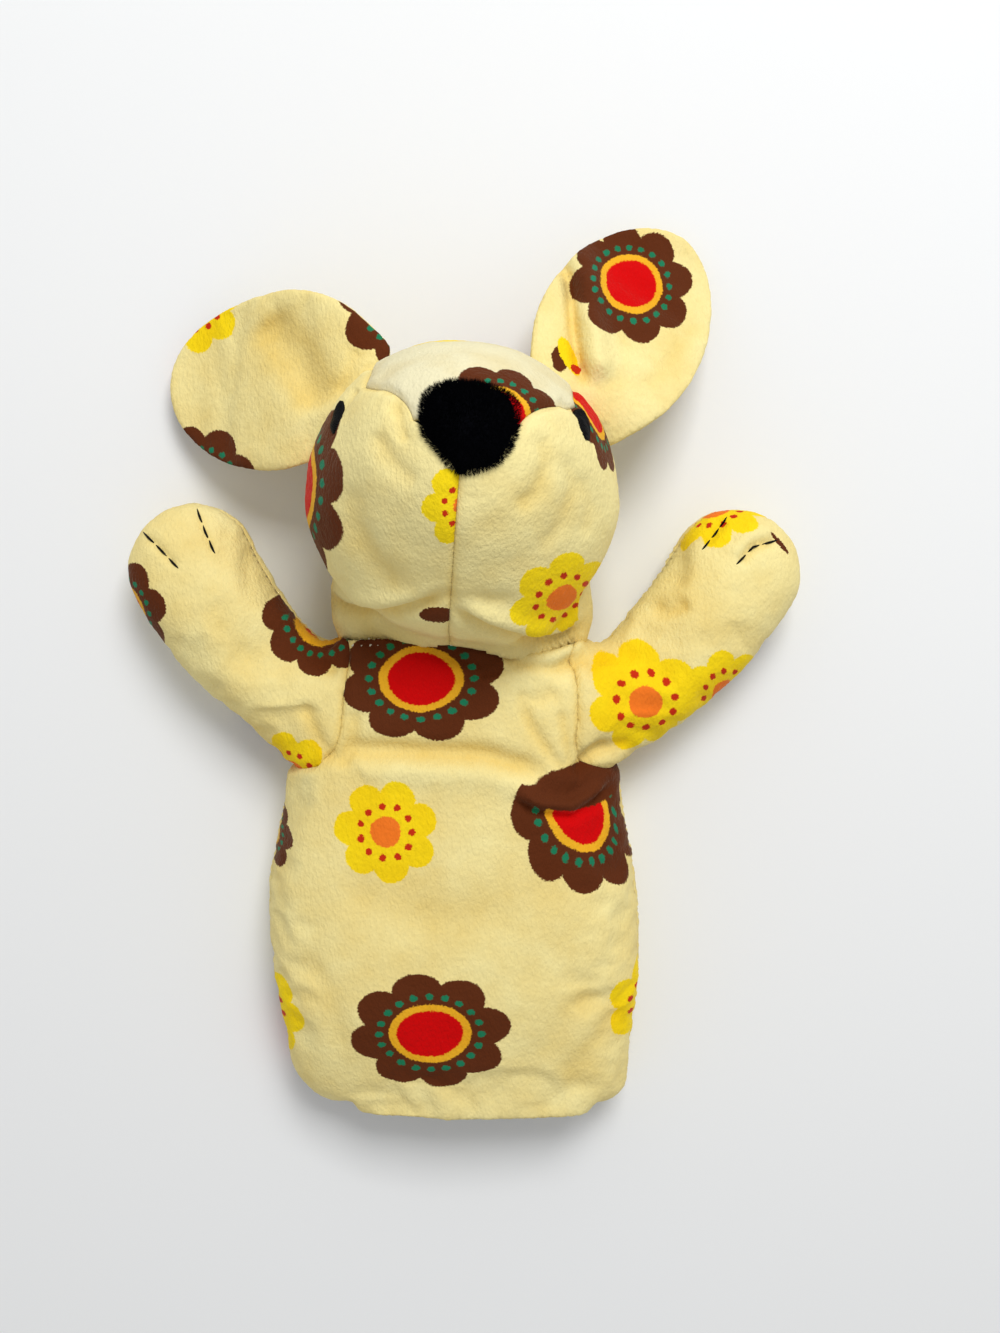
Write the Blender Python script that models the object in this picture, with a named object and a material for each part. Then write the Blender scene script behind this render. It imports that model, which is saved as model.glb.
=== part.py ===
"""Dog hand puppet in printed plush, lying on its back with its arms up.

The skin is sewn from panels: a front and a back for the body and for each arm, two cheeks and a wide
gusset for the head, and two layers for each ear. A glove for the hand runs from the hem into both arms,
and a finger pocket runs on through the neck into the stuffed head. +Z is up, out of the puppet's front,
and +Y points from the hem to the head. "left" is the side at -X, seen from above.
"""

import math

import bmesh
import bpy
import numpy as np
from mathutils import Vector, geometry
from mathutils.bvhtree import BVHTree

# Cloth and sewing
CLOTH = 0.0023              # thickness of the plush with its pile
SEAM_GAP = 0.0003           # between two panels that are sewn together
FIT_GAP = 0.0019            # between the skin and what fills it
COLLAR_GAP = 0.0018         # between the skin of the neck and the finger pocket's collar
LINING = 0.0012             # thickness of the finger pocket's cloth

# Glove: the body and what its outline needs
BODY_LENGTH = 0.160         # neck seam to hem
BODY_WIDTH = 0.125          # across the hips
WAIST_WIDTH = 0.112         # between the armpits
HEM_REACH = {"left": 0.056, "right": 0.059}     # from the middle to each end of the hem
HEM_CORNER = {"left": 0.022, "right": 0.011}    # radius of the hem's two corners
FLANK_BOW = 1.25            # how the flanks bow out: 1 is an even bow, more leaves the ends straight
HIP_SHIFT = -0.0028         # of the hips to one side of the neck
HIP_SHIFT_START = 0.020     # under the neck seam, and over which length the shift comes
HIP_SHIFT_LENGTH = 0.030
NECK_WIDTH = 0.082
NECK_PANEL = 0.072          # the neck's share that the body panels take, between the arm seams
SIDE_SEAM_HEIGHT = 0.015    # of the side seams over the floor
FRONT_RISE = 0.025          # of the front over the side seams
HEM_FALL = 0.30             # share of its height that the front loses at the hem
HEM_FALL_LENGTH = 0.050
EDGE_REACH = 0.014          # how far the side seams pull the cloth down
BACK_FLATNESS = 1.35        # how soon the back reaches the floor: more is sooner

# Fold under the chest
FOLD_DEPTH = 0.0035
FOLD_WIDTH = 0.006
FOLD_OVER_ARMPITS = 0.008   # how far towards the neck its middle lies
FOLD_BOW = 0.006            # how far its ends droop
FOLD_END = 0.012            # length over which it fades out

# Arms, each along an arc from the shoulder to the paw
ARM_LENGTH = 0.0825         # shoulder to the end of the paw
SHOULDER_WIDTH = 0.0366
PAW_WIDTH = 0.042
SHOULDER_X = 0.050
SHOULDER_Y = -0.0215
ARMPIT_Y = -0.041
ARM_RAISE = {"left": math.radians(39), "right": math.radians(37)}
ARM_BEND = math.radians(24)
SHOULDER_SHARE = 0.19       # of the arm's upper edge, that runs straight into the neck
ARMHOLE_LEAN = 0.0015       # of the armhole, away from the neck
ARMHOLE_BEND = 0.015        # over the armpit, where it turns outwards

# Toe stitches
THREAD = 0.0011             # diameter
TOE_LENGTH = 0.016
TOE_SPREAD = 0.019          # between the two stitches at the end of the paw
TOE_CLOSING = math.radians(11)

# Head
HEAD_WIDTH = 0.094
HEAD_HEIGHT = 0.090         # chin to crown
HEAD_DEPTH = 0.088          # back of the head to the brow
HEAD_X = 0.0013
HEAD_Y = 0.0475             # over the neck seam
HEAD_Z = 0.0448             # over the floor
HEAD_TURN = math.radians(-5.5)
MUZZLE_WIDTH = 0.058
MUZZLE_REACH = 0.057        # from the middle of the head to the nose
MUZZLE_TILT = math.radians(19)
MUZZLE_HEIGHT = 0.055
NECK_LOBE_Y = 0.008         # of the neck lobe's middle over the neck seam
NECK_LOBE_LENGTH = 0.056
NECK_LOBE_SPARE = 0.0008    # that the neck lobe is wider than the neck
NECK_LOBE_FLOOR = 0.0006    # that it keeps from the floor
LOBE_CREASE = 6.0           # how sharply the head's lobes join: more is sharper

# Nose, eyes and gusset
NOSE_WIDTH = 0.0272
NOSE_HEIGHT = 0.0274
NOSE_DROP = 0.001           # of its middle under the muzzle's end
EYE_LENGTH = 0.0125
EYE_WIDTH = 0.0085
EYE_HEIGHT = 0.0013
EYE_RIM = 0.0003            # thickness of its edge
EYE_T = math.radians(40)    # round the head from the front to the crown
EYE_SIDE = math.radians(49.5)
GUSSET_NOSE = math.radians(14)
GUSSET_BROW = math.radians(41)
GUSSET_NAPE = math.radians(20)
GUSSET_WIDENS = (math.radians(16), math.radians(38))     # from where, and over how much
GUSSET_NARROWS = (math.radians(120), math.radians(100))
GUSSET_START = math.radians(19)
GUSSET_END = math.radians(238)
SEAM_TURN = math.radians(10)    # over which the cheeks' seams leave the gusset and meet

# Ears
EAR_LENGTH = 0.075
EAR_WIDTH = 0.058
EAR_ROOT = 0.028            # width where the ear is sewn on
EAR_WIDEST = 0.46           # share of its length where it is widest
EAR_TUCK = 0.008            # how deep its root reaches into the head's seam
EAR_RIM = 0.0004            # thickness of a layer at its edge
EAR_EDGE_REACH = 0.0022     # how far its seam thins a layer
EAR_SEAT = math.radians(41)  # round the head from its side to its crown
EAR_SWING = {"left": math.radians(8), "right": math.radians(61)}
EAR_TIP_HEIGHT = 0.006
EAR_CREASE = {"left": -0.003, "right": 0.006}
EAR_CREASE_ACROSS = {"left": -0.10, "right": 0.34}   # shares of the ear's width, from its middle
EAR_CREASE_WIDTH = 0.12     # share of the ear's width
EAR_CREASE_START = 0.020    # length over which it comes, from the tuck on
EAR_CREASE_END = (0.45, 0.85)   # shares of the ear's length over which it goes

# Finger pocket in the head
POCKET_BORE = 0.023
POCKET_DEPTH = 0.052
FILLING_START = 0.018       # of the stuffing over the neck seam

# Mesh steps
EDGE_STEP = 0.0065
GRID_STEP = 0.0095
EDGE_RINGS = (0.0012, 0.0040, 0.0085)
LEAST_STEP = 0.0019
CHEEK_STEPS = 11
NECK_TURNS = 40
FAR = 0.2                   # past the puppet in every direction

SIDES = {"left": -1, "right": 1}
COLOURS = {
    "plush": ((0.86, 0.74, 0.42), 0.85),
    "brow_plush": ((0.86, 0.80, 0.60), 0.85),
    "black_plush": ((0.004, 0.005, 0.010), 0.9),
    "black_thread": ((0.006, 0.006, 0.008), 0.5),
    "filling": ((0.9, 0.9, 0.88), 0.95),
    "lining": ((0.85, 0.83, 0.76), 0.9),
}


def clear_scene():
    for thing in list(bpy.data.objects):
        bpy.data.objects.remove(thing, do_unlink=True)


def material(name):
    found = bpy.data.materials.get(name)
    if found:
        return found
    colour, roughness = COLOURS[name]
    made = bpy.data.materials.new(name)
    made.use_nodes = True
    shader = made.node_tree.nodes["Principled BSDF"]
    shader.inputs["Base Color"].default_value = (*colour, 1)
    shader.inputs["Roughness"].default_value = roughness
    shader.inputs["Metallic"].default_value = 0
    return made


def ease(x):
    x = np.clip(x, 0, 1)
    return x * x * (3 - 2 * x)


def add_object(name, points, faces, material_name, parent):
    """A closed mesh with its faces pointing out."""
    mesh = bpy.data.meshes.new(name)
    mesh.from_pydata([tuple(p) for p in points], [], [tuple(f) for f in faces])
    shape = bmesh.new()
    shape.from_mesh(mesh)
    bmesh.ops.recalc_face_normals(shape, faces=shape.faces)
    if shape.calc_volume(signed=True) < 0:
        bmesh.ops.reverse_faces(shape, faces=shape.faces)
    shape.to_mesh(mesh)
    shape.free()
    mesh.shade_smooth()
    mesh.set_sharp_from_angle(angle=math.radians(50))
    thing = bpy.data.objects.new(name, mesh)
    bpy.context.collection.objects.link(thing)
    thing.data.materials.append(material(material_name))
    thing.parent = parent
    return thing


def hide_cutter(thing):
    thing.hide_render = True
    thing.display_type = "WIRE"
    return thing


def cut(thing, cutter, operation="DIFFERENCE"):
    change = thing.modifiers.new(cutter.name, "BOOLEAN")
    change.object = cutter
    change.operation = operation
    change.solver = "EXACT"


# Plan outlines


def resample(points, step):
    """The same line with even steps, its ends kept."""
    points = np.asarray(points, float)
    lengths = np.linalg.norm(np.diff(points, axis=0), axis=1)
    along = np.concatenate([[0], np.cumsum(lengths)])
    count = max(2, int(round(along[-1] / step)) + 1)
    wanted = np.linspace(0, along[-1], count)
    return np.column_stack([np.interp(wanted, along, points[:, k]) for k in range(2)])


def graded(start, end, near_start=True, near_end=True):
    """Points along a straight line, closer together beside a sewn edge."""
    start, end = np.asarray(start, float), np.asarray(end, float)
    length = np.linalg.norm(end - start)
    marks = [0.0, length]
    if near_start:
        marks += list(EDGE_RINGS)
    if near_end:
        marks += [length - ring for ring in EDGE_RINGS]
    first = EDGE_RINGS[-1] if near_start else 0.0
    last = length - (EDGE_RINGS[-1] if near_end else 0.0)
    marks += list(np.linspace(first, last, int((last - first) / GRID_STEP) + 2))
    marks = sorted(m for m in marks if 0 <= m <= length)
    kept = [marks[0]]
    for mark in marks[1:]:
        if mark - kept[-1] > EDGE_RINGS[0] / 2:
            kept.append(mark)
    kept[-1] = length
    return [start + (end - start) * (m / length) for m in kept]


def bezier(a, b, c, count):
    a, b, c = (np.asarray(p, float) for p in (a, b, c))
    return [a * (1 - s) ** 2 + b * 2 * s * (1 - s) + c * s * s for s in np.linspace(0, 1, count)]


def arm_frame(side, along):
    """A place on an arm's centre line and the way the arm heads there, on the +X side."""
    reach = ARM_LENGTH - PAW_WIDTH / 2
    radius = reach / ARM_BEND
    turned = ARM_BEND * along / reach
    start = ARM_RAISE[side]
    place = np.array([
        SHOULDER_X + radius * (math.sin(start + turned) - math.sin(start)),
        SHOULDER_Y - radius * (math.cos(start + turned) - math.cos(start)),
    ])
    heading = np.array([math.cos(start + turned), math.sin(start + turned)])
    return place, heading


def arm_half_width(along):
    reach = ARM_LENGTH - PAW_WIDTH / 2
    return (SHOULDER_WIDTH + (PAW_WIDTH - SHOULDER_WIDTH) * float(ease(along / reach))) / 2


def arm_outline(side):
    """From the armpit along the arm's lower edge, round the paw and back to the neck, on the +X side."""
    reach = ARM_LENGTH - PAW_WIDTH / 2
    lower, upper = [], []
    for along in np.linspace(0, reach, 12):
        place, heading = arm_frame(side, along)
        across = np.array([-heading[1], heading[0]]) * arm_half_width(along)
        lower.append(place - across)
        if along > SHOULDER_SHARE * reach:
            upper.append(place + across)
    place, heading = arm_frame(side, reach)
    across = np.array([-heading[1], heading[0]])
    cap = [place + PAW_WIDTH / 2 * (math.cos(turn) * heading + math.sin(turn) * across)
           for turn in np.radians(np.linspace(-75, 75, 9))]
    return lower + cap + upper[::-1]


def right_edge(side):
    """The sewn edge on the +X side, from the hem up to the neck: its points and where the armpit is."""
    hem_y = -BODY_LENGTH
    hem, waist, radius = HEM_REACH[side], WAIST_WIDTH / 2, HEM_CORNER[side]
    bulge = BODY_WIDTH / 2 - (hem + waist) / 2
    corner = [(hem - radius * (1 - math.sin(turn)), hem_y + radius * (1 - math.cos(turn)))
              for turn in np.radians((0, 22.5, 45, 67.5, 90))]
    side_length = ARMPIT_Y - hem_y - radius
    flank = [(hem + (waist - hem) * v + bulge * math.sin(math.pi * v) ** FLANK_BOW,
              hem_y + radius + side_length * v) for v in np.linspace(0, 1, 18)]
    body = resample(corner + flank[1:], EDGE_STEP)
    arm = resample([flank[-1]] + arm_outline(side) + [(NECK_WIDTH / 2, 0.0)], EDGE_STEP)
    return np.vstack([body, arm[1:]]), len(body) - 1


def arm_seam():
    """The armhole on the +X side, from the neck seam to the armpit."""
    top = (NECK_PANEL / 2, 0.0)
    armpit = (WAIST_WIDTH / 2, ARMPIT_Y)
    low = (top[0] + ARMHOLE_LEAN, ARMPIT_Y + ARMHOLE_BEND)
    straight = graded(top, low, near_start=False, near_end=False)
    turn = resample(bezier(low, (low[0], ARMPIT_Y), armpit, 30), EDGE_STEP)
    clear = EDGE_RINGS[-1] + LEAST_STEP
    ends = [p for p in turn[1:-1] if np.linalg.norm(p - turn[-1]) > clear]
    into = (turn[-2] - turn[-1]) / np.linalg.norm(turn[-2] - turn[-1])
    near = [turn[-1] + into * ring for ring in EDGE_RINGS[::-1]]
    return straight + ends + near + [turn[-1]]


def mirrored(points):
    return [np.array([-p[0], p[1]]) for p in points]


def inside(points, outline):
    """Even-odd test of points against a closed outline."""
    points, outline = np.asarray(points, float), np.asarray(outline, float)
    found = np.zeros(len(points), bool)
    for a, b in zip(outline, np.roll(outline, -1, axis=0)):
        crosses = (a[1] > points[:, 1]) != (b[1] > points[:, 1])
        rise = b[1] - a[1] if abs(b[1] - a[1]) > 1e-12 else 1e-12
        at = a[0] + (points[:, 1] - a[1]) * (b[0] - a[0]) / rise
        found ^= crosses & (points[:, 0] < at)
    return found


def distance_to(points, line):
    """How far each point is from a line of points."""
    points, line = np.asarray(points, float), np.asarray(line, float)
    best = np.full(len(points), np.inf)
    for a, b in zip(line[:-1], line[1:]):
        run = b - a
        share = np.clip(((points - a) @ run) / max(run @ run, 1e-18), 0, 1)
        best = np.minimum(best, np.linalg.norm(points - a - share[:, None] * run, axis=1))
    return best


def edge_normals(line):
    """The right-hand normal at each point of a line."""
    line = np.asarray(line, float)
    run = np.gradient(line, axis=0)
    run /= np.linalg.norm(run, axis=1)[:, None]
    return np.column_stack([run[:, 1], -run[:, 0]])


# Sewn pillows: a flat plan mesh that swells between its sewn edges


class Plan:
    """A flat triangle mesh with sewn edges, open edges and seams that cross it."""

    def __init__(self, chains, seams, grid_step):
        # chains: [(points, sewn)] round the outline, anticlockwise, each ending where the next one starts
        outline = np.vstack([np.asarray(points)[:-1] for points, sewn in chains])
        places = [tuple(p) for p in outline]
        links = [(k, (k + 1) % len(outline)) for k in range(len(outline))]
        sewn_lines = [np.asarray(points) for points, sewn in chains if sewn]
        open_lines = [np.asarray(points) for points, sewn in chains if not sewn]
        for seam in seams:
            ids = []
            for p in seam:
                gap = np.linalg.norm(outline - p, axis=1)
                if gap.min() < 1e-6:
                    ids.append(int(gap.argmin()))
                else:
                    ids.append(len(places))
                    places.append(tuple(p))
            links += list(zip(ids[:-1], ids[1:]))
        extra = self.inner_points(outline, sewn_lines, open_lines, seams, grid_step)
        places += [tuple(p) for p in extra]
        points, _, faces, _, _, _ = geometry.delaunay_2d_cdt(
            [Vector(p) for p in places], links, [], 1, 1e-7)
        self.points = np.array([tuple(p) for p in points])
        self.faces = np.array([f for f in faces])
        self.outline = outline
        self.sewn = np.zeros(len(self.points), bool)
        self.outward = np.zeros((len(self.points), 2))
        for line in sewn_lines:
            normals = edge_normals(line)
            for p, normal in zip(line, normals):
                k = self.nearest(p)
                self.sewn[k] = True
                self.outward[k] = normal
        self.open = np.zeros(len(self.points), bool)
        for line in open_lines:
            self.open |= distance_to(self.points, line) < 1e-6

    @staticmethod
    def inner_points(outline, sewn_lines, open_lines, seams, grid_step):
        found = []
        for ring in EDGE_RINGS:
            for line in sewn_lines:
                shifted = line - edge_normals(line) * ring
                found += [p for p in shifted[1:-1]]
        found = np.array(found)
        low, high = outline.min(axis=0), outline.max(axis=0)
        rows = np.arange(low[1], high[1], grid_step * 0.87)
        grid = [(x + (k % 2) * grid_step / 2, y) for k, y in enumerate(rows)
                for x in np.arange(low[0], high[0], grid_step)]
        grid = np.array(grid)
        sewn_gap = np.min([distance_to(grid, line) for line in sewn_lines], axis=0)
        grid = grid[inside(grid, outline) & (sewn_gap > EDGE_RINGS[-1] + grid_step * 0.4)]
        keep = inside(found, outline)
        ring_gap = np.min([distance_to(found, line) for line in sewn_lines], axis=0)
        rings = np.repeat(EDGE_RINGS, len(found) // len(EDGE_RINGS))
        keep &= ring_gap > rings * 0.93
        found = np.vstack([found[keep], grid])
        for line in open_lines + [np.asarray(seam) for seam in seams]:
            found = found[distance_to(found, line) > LEAST_STEP]
        kept = []
        for p in found:
            if all((p[0] - q[0]) ** 2 + (p[1] - q[1]) ** 2 > LEAST_STEP ** 2 for q in kept):
                kept.append(p)
        return kept

    def nearest(self, p):
        return int(np.linalg.norm(self.points - p, axis=1).argmin())

    def swell(self, reach):
        """Height from 0 on the sewn edges towards 1 far from them: a screened membrane under pressure."""
        count = len(self.points)
        stiff = np.zeros((count, count))
        area = np.zeros(count)
        for a, b, c in self.faces:
            pa, pb, pc = self.points[[a, b, c]]
            twice = abs((pb - pa)[0] * (pc - pa)[1] - (pb - pa)[1] * (pc - pa)[0])
            sides = {a: pc - pb, b: pa - pc, c: pb - pa}
            for i in (a, b, c):
                area[i] += twice / 6
                for j in (a, b, c):
                    stiff[i, j] += (sides[i] @ sides[j]) / (2 * twice)
        system = reach ** 2 * stiff + np.diag(area)
        free = np.flatnonzero(~self.sewn)
        height = np.zeros(count)
        height[free] = np.linalg.solve(system[np.ix_(free, free)], area[free])
        return np.sqrt(np.clip(height, 0, None))

    def normals(self, heights, up):
        """Unit normals of the surface over the plan, level on the sewn edges and in the plane of open ends."""
        solid = np.column_stack([self.points, heights])
        total = np.zeros((len(solid), 3))
        for a, b, c in self.faces:
            normal = np.cross(solid[b] - solid[a], solid[c] - solid[a])
            if normal[2] < 0:
                normal = -normal
            total[[a, b, c]] += normal
        total *= up
        total[self.sewn] = np.column_stack([self.outward[self.sewn], np.zeros(self.sewn.sum())])
        total[self.open, 1] = 0
        corner = self.open & self.sewn
        total[corner] = np.column_stack([np.sign(self.points[corner, 0]), np.zeros((corner.sum(), 2))])
        return total / np.linalg.norm(total, axis=1)[:, None]


def panel(name, plan, faces, outer, inner, seams, material_name, parent):
    """One shell: the chosen faces of a plan between an outer and an inner surface, set back from its seams."""
    faces = np.asarray(faces)
    used = sorted(set(faces.ravel()))
    row = {k: i for i, k in enumerate(used)}
    shift = np.zeros((len(plan.points), 2))
    for seam in seams:
        ids = [plan.nearest(p) for p in seam]
        normals = edge_normals(seam)
        towards = 0
        for k, normal in zip(ids, normals):
            touching = faces[(faces == k).any(axis=1)]
            if len(touching):
                towards += (plan.points[touching].mean(axis=(0, 1)) - plan.points[k]) @ normal
        for k, normal in zip(ids, normals):
            shift[k] = normal * np.sign(towards) * SEAM_GAP / 2
    top = [outer[k] + np.array([*shift[k], 0]) for k in used]
    bottom = [inner[k] + np.array([*shift[k], 0]) for k in used]
    count = len(used)
    mesh_faces = [[row[k] for k in f] for f in faces]
    edges = {}
    for f in mesh_faces:
        for a, b in zip(f, f[1:] + f[:1]):
            edges[(a, b)] = edges.get((a, b), 0) + 1
    rim = [(a, b) for a, b in edges if (b, a) not in edges]
    shell = mesh_faces + [[k + count for k in reversed(f)] for f in mesh_faces]
    for a, b in rim:
        if a < b:
            shell += [[b, a, b + count], [a, a + count, b + count]]
        else:
            shell += [[b, a, a + count], [b, a + count, b + count]]
    return add_object(name, top + bottom, shell, material_name, parent)


def glove_plan():
    right, right_pit = right_edge("right")
    left, left_pit = right_edge("left")
    left = np.array(mirrored(left))[::-1]
    hem = graded(left[-1], right[0])
    neck = graded((NECK_WIDTH / 2, 0), (-NECK_WIDTH / 2, 0))
    seam = arm_seam()
    seams = {"right": np.array(seam), "left": np.array(mirrored(seam))}
    for side in SIDES:
        top = seams[side][0]
        nearest = int(np.linalg.norm(np.array(neck) - top, axis=1).argmin())
        neck[nearest] = top
    chains = [(left, True), (np.array(hem), False), (right, True), (np.array(neck), False)]
    plan = Plan(chains, list(seams.values()), GRID_STEP)
    arm_outlines = {
        "right": np.vstack([seams["right"], right[right_pit + 1:]]),
        "left": np.vstack([seams["left"], left[::-1][left_pit + 1:]]),
    }
    return plan, seams, arm_outlines


def chest_fold(points):
    """How deep the soft fold under the chest is at each place."""
    middle = ARMPIT_Y + FOLD_OVER_ARMPITS - FOLD_BOW * (points[:, 0] / (NECK_PANEL / 2)) ** 2
    ends = ease((NECK_WIDTH / 2 + FOLD_END / 2 - np.abs(points[:, 0])) / FOLD_END)
    return FOLD_DEPTH * ends * np.exp(-((points[:, 1] - middle) / FOLD_WIDTH) ** 2)


def glove_surfaces(plan):
    """Outer and inner places of every plan point, for the front and for the back."""
    rise = plan.swell(EDGE_REACH)
    rise /= rise.max()
    towards_hem = ease((-plan.points[:, 1] - BODY_LENGTH + HEM_FALL_LENGTH) / HEM_FALL_LENGTH)
    front = FRONT_RISE * rise * (1 - HEM_FALL * towards_hem) - chest_fold(plan.points) * rise
    back = SIDE_SEAM_HEIGHT * np.sin(np.pi / 2 * np.clip(BACK_FLATNESS * rise, 0, 1))
    hips = ease((-plan.points[:, 1] - HIP_SHIFT_START) / HIP_SHIFT_LENGTH)
    flat = plan.points + np.column_stack([HIP_SHIFT * hips, 0 * hips])
    on_floor = BACK_FLATNESS * rise >= 1
    surfaces = {}
    for face, up, heights in (("front", 1, front), ("back", -1, back)):
        z = SIDE_SEAM_HEIGHT + up * heights
        outer = np.column_stack([flat, z])
        normals = plan.normals(z, up)
        inner = outer - CLOTH * normals
        lift = up * SEAM_GAP / 2
        if up < 0:
            inner[on_floor] = outer[on_floor] + np.array([0, 0, CLOTH])
            outer[~on_floor, 2] += lift
            inner[~on_floor, 2] += lift
            outer[:, 2] = np.maximum(outer[:, 2], 0)
        else:
            outer[:, 2] += lift
            inner[:, 2] += lift
        surfaces[face] = (outer, inner)
    return surfaces


def build_glove(parent):
    plan, seams, arm_outlines = glove_plan()
    surfaces = glove_surfaces(plan)
    middles = plan.points[plan.faces].mean(axis=1)
    in_arm = {side: inside(middles, arm_outlines[side]) for side in SIDES}
    body = ~(in_arm["left"] | in_arm["right"])
    panels = {}
    for face, (outer, inner) in surfaces.items():
        panels["body_" + face] = panel("body_" + face, plan, plan.faces[body], outer, inner,
                                       seams.values(), "plush", parent)
        for side in SIDES:
            name = side + "_arm_" + face
            panels[name] = panel(name, plan, plan.faces[in_arm[side]], outer, inner,
                                 [seams[side]], "plush", parent)
    return panels


def build_toe_stitches(panels, parent):
    reach = ARM_LENGTH - PAW_WIDTH / 2
    for side, sign in SIDES.items():
        front = panels[side + "_arm_front"]
        tree = BVHTree.FromPolygons([v.co for v in front.data.vertices],
                                    [tuple(p.vertices) for p in front.data.polygons])
        paw, heading = arm_frame(side, reach)
        across = np.array([-heading[1], heading[0]])
        for label, place in (("inner", 0.5), ("outer", -0.5)):
            offset = place * TOE_SPREAD
            outside = paw + across * offset + heading * math.sqrt((PAW_WIDTH / 2) ** 2 - offset ** 2)
            turn = 2 * place * TOE_CLOSING
            way = -heading * math.cos(turn) - across * math.sin(turn)
            route = []
            for along in np.linspace(THREAD / 2, TOE_LENGTH, 12):
                x, y = outside + way * along
                hit, normal, _, _ = tree.ray_cast(Vector((sign * x, y, FAR)), Vector((0, 0, -1)))
                if hit:
                    route.append(hit + normal * (SEAM_GAP * 1.5 + THREAD / 2))
            curve = bpy.data.curves.new(side + "_toe_stitch_" + label, "CURVE")
            curve.dimensions = "3D"
            curve.bevel_depth = THREAD / 2
            curve.bevel_resolution = 1
            curve.use_fill_caps = True
            line = curve.splines.new("POLY")
            line.points.add(len(route) - 1)
            for point, p in zip(line.points, route):
                point.co = (*p, 1)
            stitch = bpy.data.objects.new(curve.name, curve)
            bpy.context.collection.objects.link(stitch)
            stitch.data.materials.append(material("black_thread"))
            stitch.parent = parent


# Head: smoothly joined lobes, seen from its middle


def head_lobes():
    """Middles and radii of the lobes, from the middle of the head; only the neck keeps the body's heading."""
    reach = MUZZLE_REACH - MUZZLE_WIDTH / 2
    nose_way = np.array([0, math.sin(MUZZLE_TILT), math.cos(MUZZLE_TILT)])
    neck_z = body_height() / 2 - HEAD_Z
    neck = turned(np.array([-HEAD_X, -HEAD_Y + NECK_LOBE_Y, neck_z]), -HEAD_TURN)
    neck_size = [NECK_WIDTH + 2 * NECK_LOBE_SPARE, NECK_LOBE_LENGTH, body_height() - 2 * NECK_LOBE_FLOOR]
    return [
        (np.zeros(3), np.array([HEAD_WIDTH, HEAD_HEIGHT, HEAD_DEPTH]) / 2),
        (nose_way * reach, np.array([MUZZLE_WIDTH, MUZZLE_HEIGHT, MUZZLE_WIDTH]) / 2),
        (neck, np.array(neck_size) / 2),
    ]


def body_height():
    return SIDE_SEAM_HEIGHT + FRONT_RISE


def head_field(places):
    """0 on the head's skin, positive inside."""
    total = 0
    for middle, radii in head_lobes():
        total = total + np.exp(-LOBE_CREASE * (np.linalg.norm((places - middle) / radii, axis=-1) - 1))
    return np.log(total) / LOBE_CREASE


def head_skin(ts, sides, inset=0.0):
    """Places on the head's skin for angles round it (front, crown, back, neck) and out to its sides."""
    ts, sides = np.broadcast_arrays(np.asarray(ts, float), np.asarray(sides, float))
    way = np.stack([np.sin(sides), np.cos(sides) * np.sin(ts), np.cos(sides) * np.cos(ts)], axis=-1)
    low, high = np.full(ts.shape, HEAD_WIDTH * 0.1), np.full(ts.shape, HEAD_WIDTH)
    for _ in range(32):
        middle = (low + high) / 2
        outside = head_field(way * middle[..., None]) < 0
        high = np.where(outside, middle, high)
        low = np.where(outside, low, middle)
    places = way * high[..., None]
    step = 0.0002
    slope = np.stack([head_field(places + step * axis) - head_field(places - step * axis)
                      for axis in np.eye(3)], axis=-1)
    normals = -slope / np.linalg.norm(slope, axis=-1, keepdims=True)
    places = places - normals * inset
    return to_world(places), turned(normals)


def turned(vectors, turn=HEAD_TURN):
    """The vectors, turned about the upright."""
    cos, sin = math.cos(turn), math.sin(turn)
    x, y, z = vectors[..., 0], vectors[..., 1], vectors[..., 2]
    return np.stack([cos * x - sin * y, sin * x + cos * y, z], axis=-1)


def to_world(places):
    return turned(places) + np.array([HEAD_X, HEAD_Y, HEAD_Z])


def gusset_half(t):
    """Half the gusset's width, as an angle, round the head from the nose over the crown to the nape."""
    widening = ease((t - GUSSET_WIDENS[0]) / GUSSET_WIDENS[1])
    narrowing = ease((t - GUSSET_NARROWS[0]) / GUSSET_NARROWS[1])
    return GUSSET_NOSE + (GUSSET_BROW - GUSSET_NOSE) * widening - (GUSSET_BROW - GUSSET_NAPE) * narrowing


def head_panel(name, rows, material_name, parent):
    """A shell between the head's skin and the same skin set in by the cloth, from rows of angles."""
    outer = [head_skin(t, sides)[0] for t, sides in rows]
    inner = [head_skin(t, sides, CLOTH)[0] for t, sides in rows]
    wide = len(rows[0][1])
    points = np.vstack(outer + inner)
    count = len(rows) * wide
    faces = []
    for i in range(len(rows) - 1):
        for j in range(wide - 1):
            a, b = i * wide + j, (i + 1) * wide + j
            faces.append([a, a + 1, b + 1, b])
            faces.append([b + count, b + 1 + count, a + 1 + count, a + count])
        for j in (0, wide - 1):
            a, b = i * wide + j, (i + 1) * wide + j
            faces.append([a, b, b + count, a + count])
    for i in (0, len(rows) - 1):
        for j in range(wide - 1):
            a = i * wide + j
            faces.append([a, a + 1, a + 1 + count, a + count])
    return add_object(name, points, faces, material_name, parent)


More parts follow.
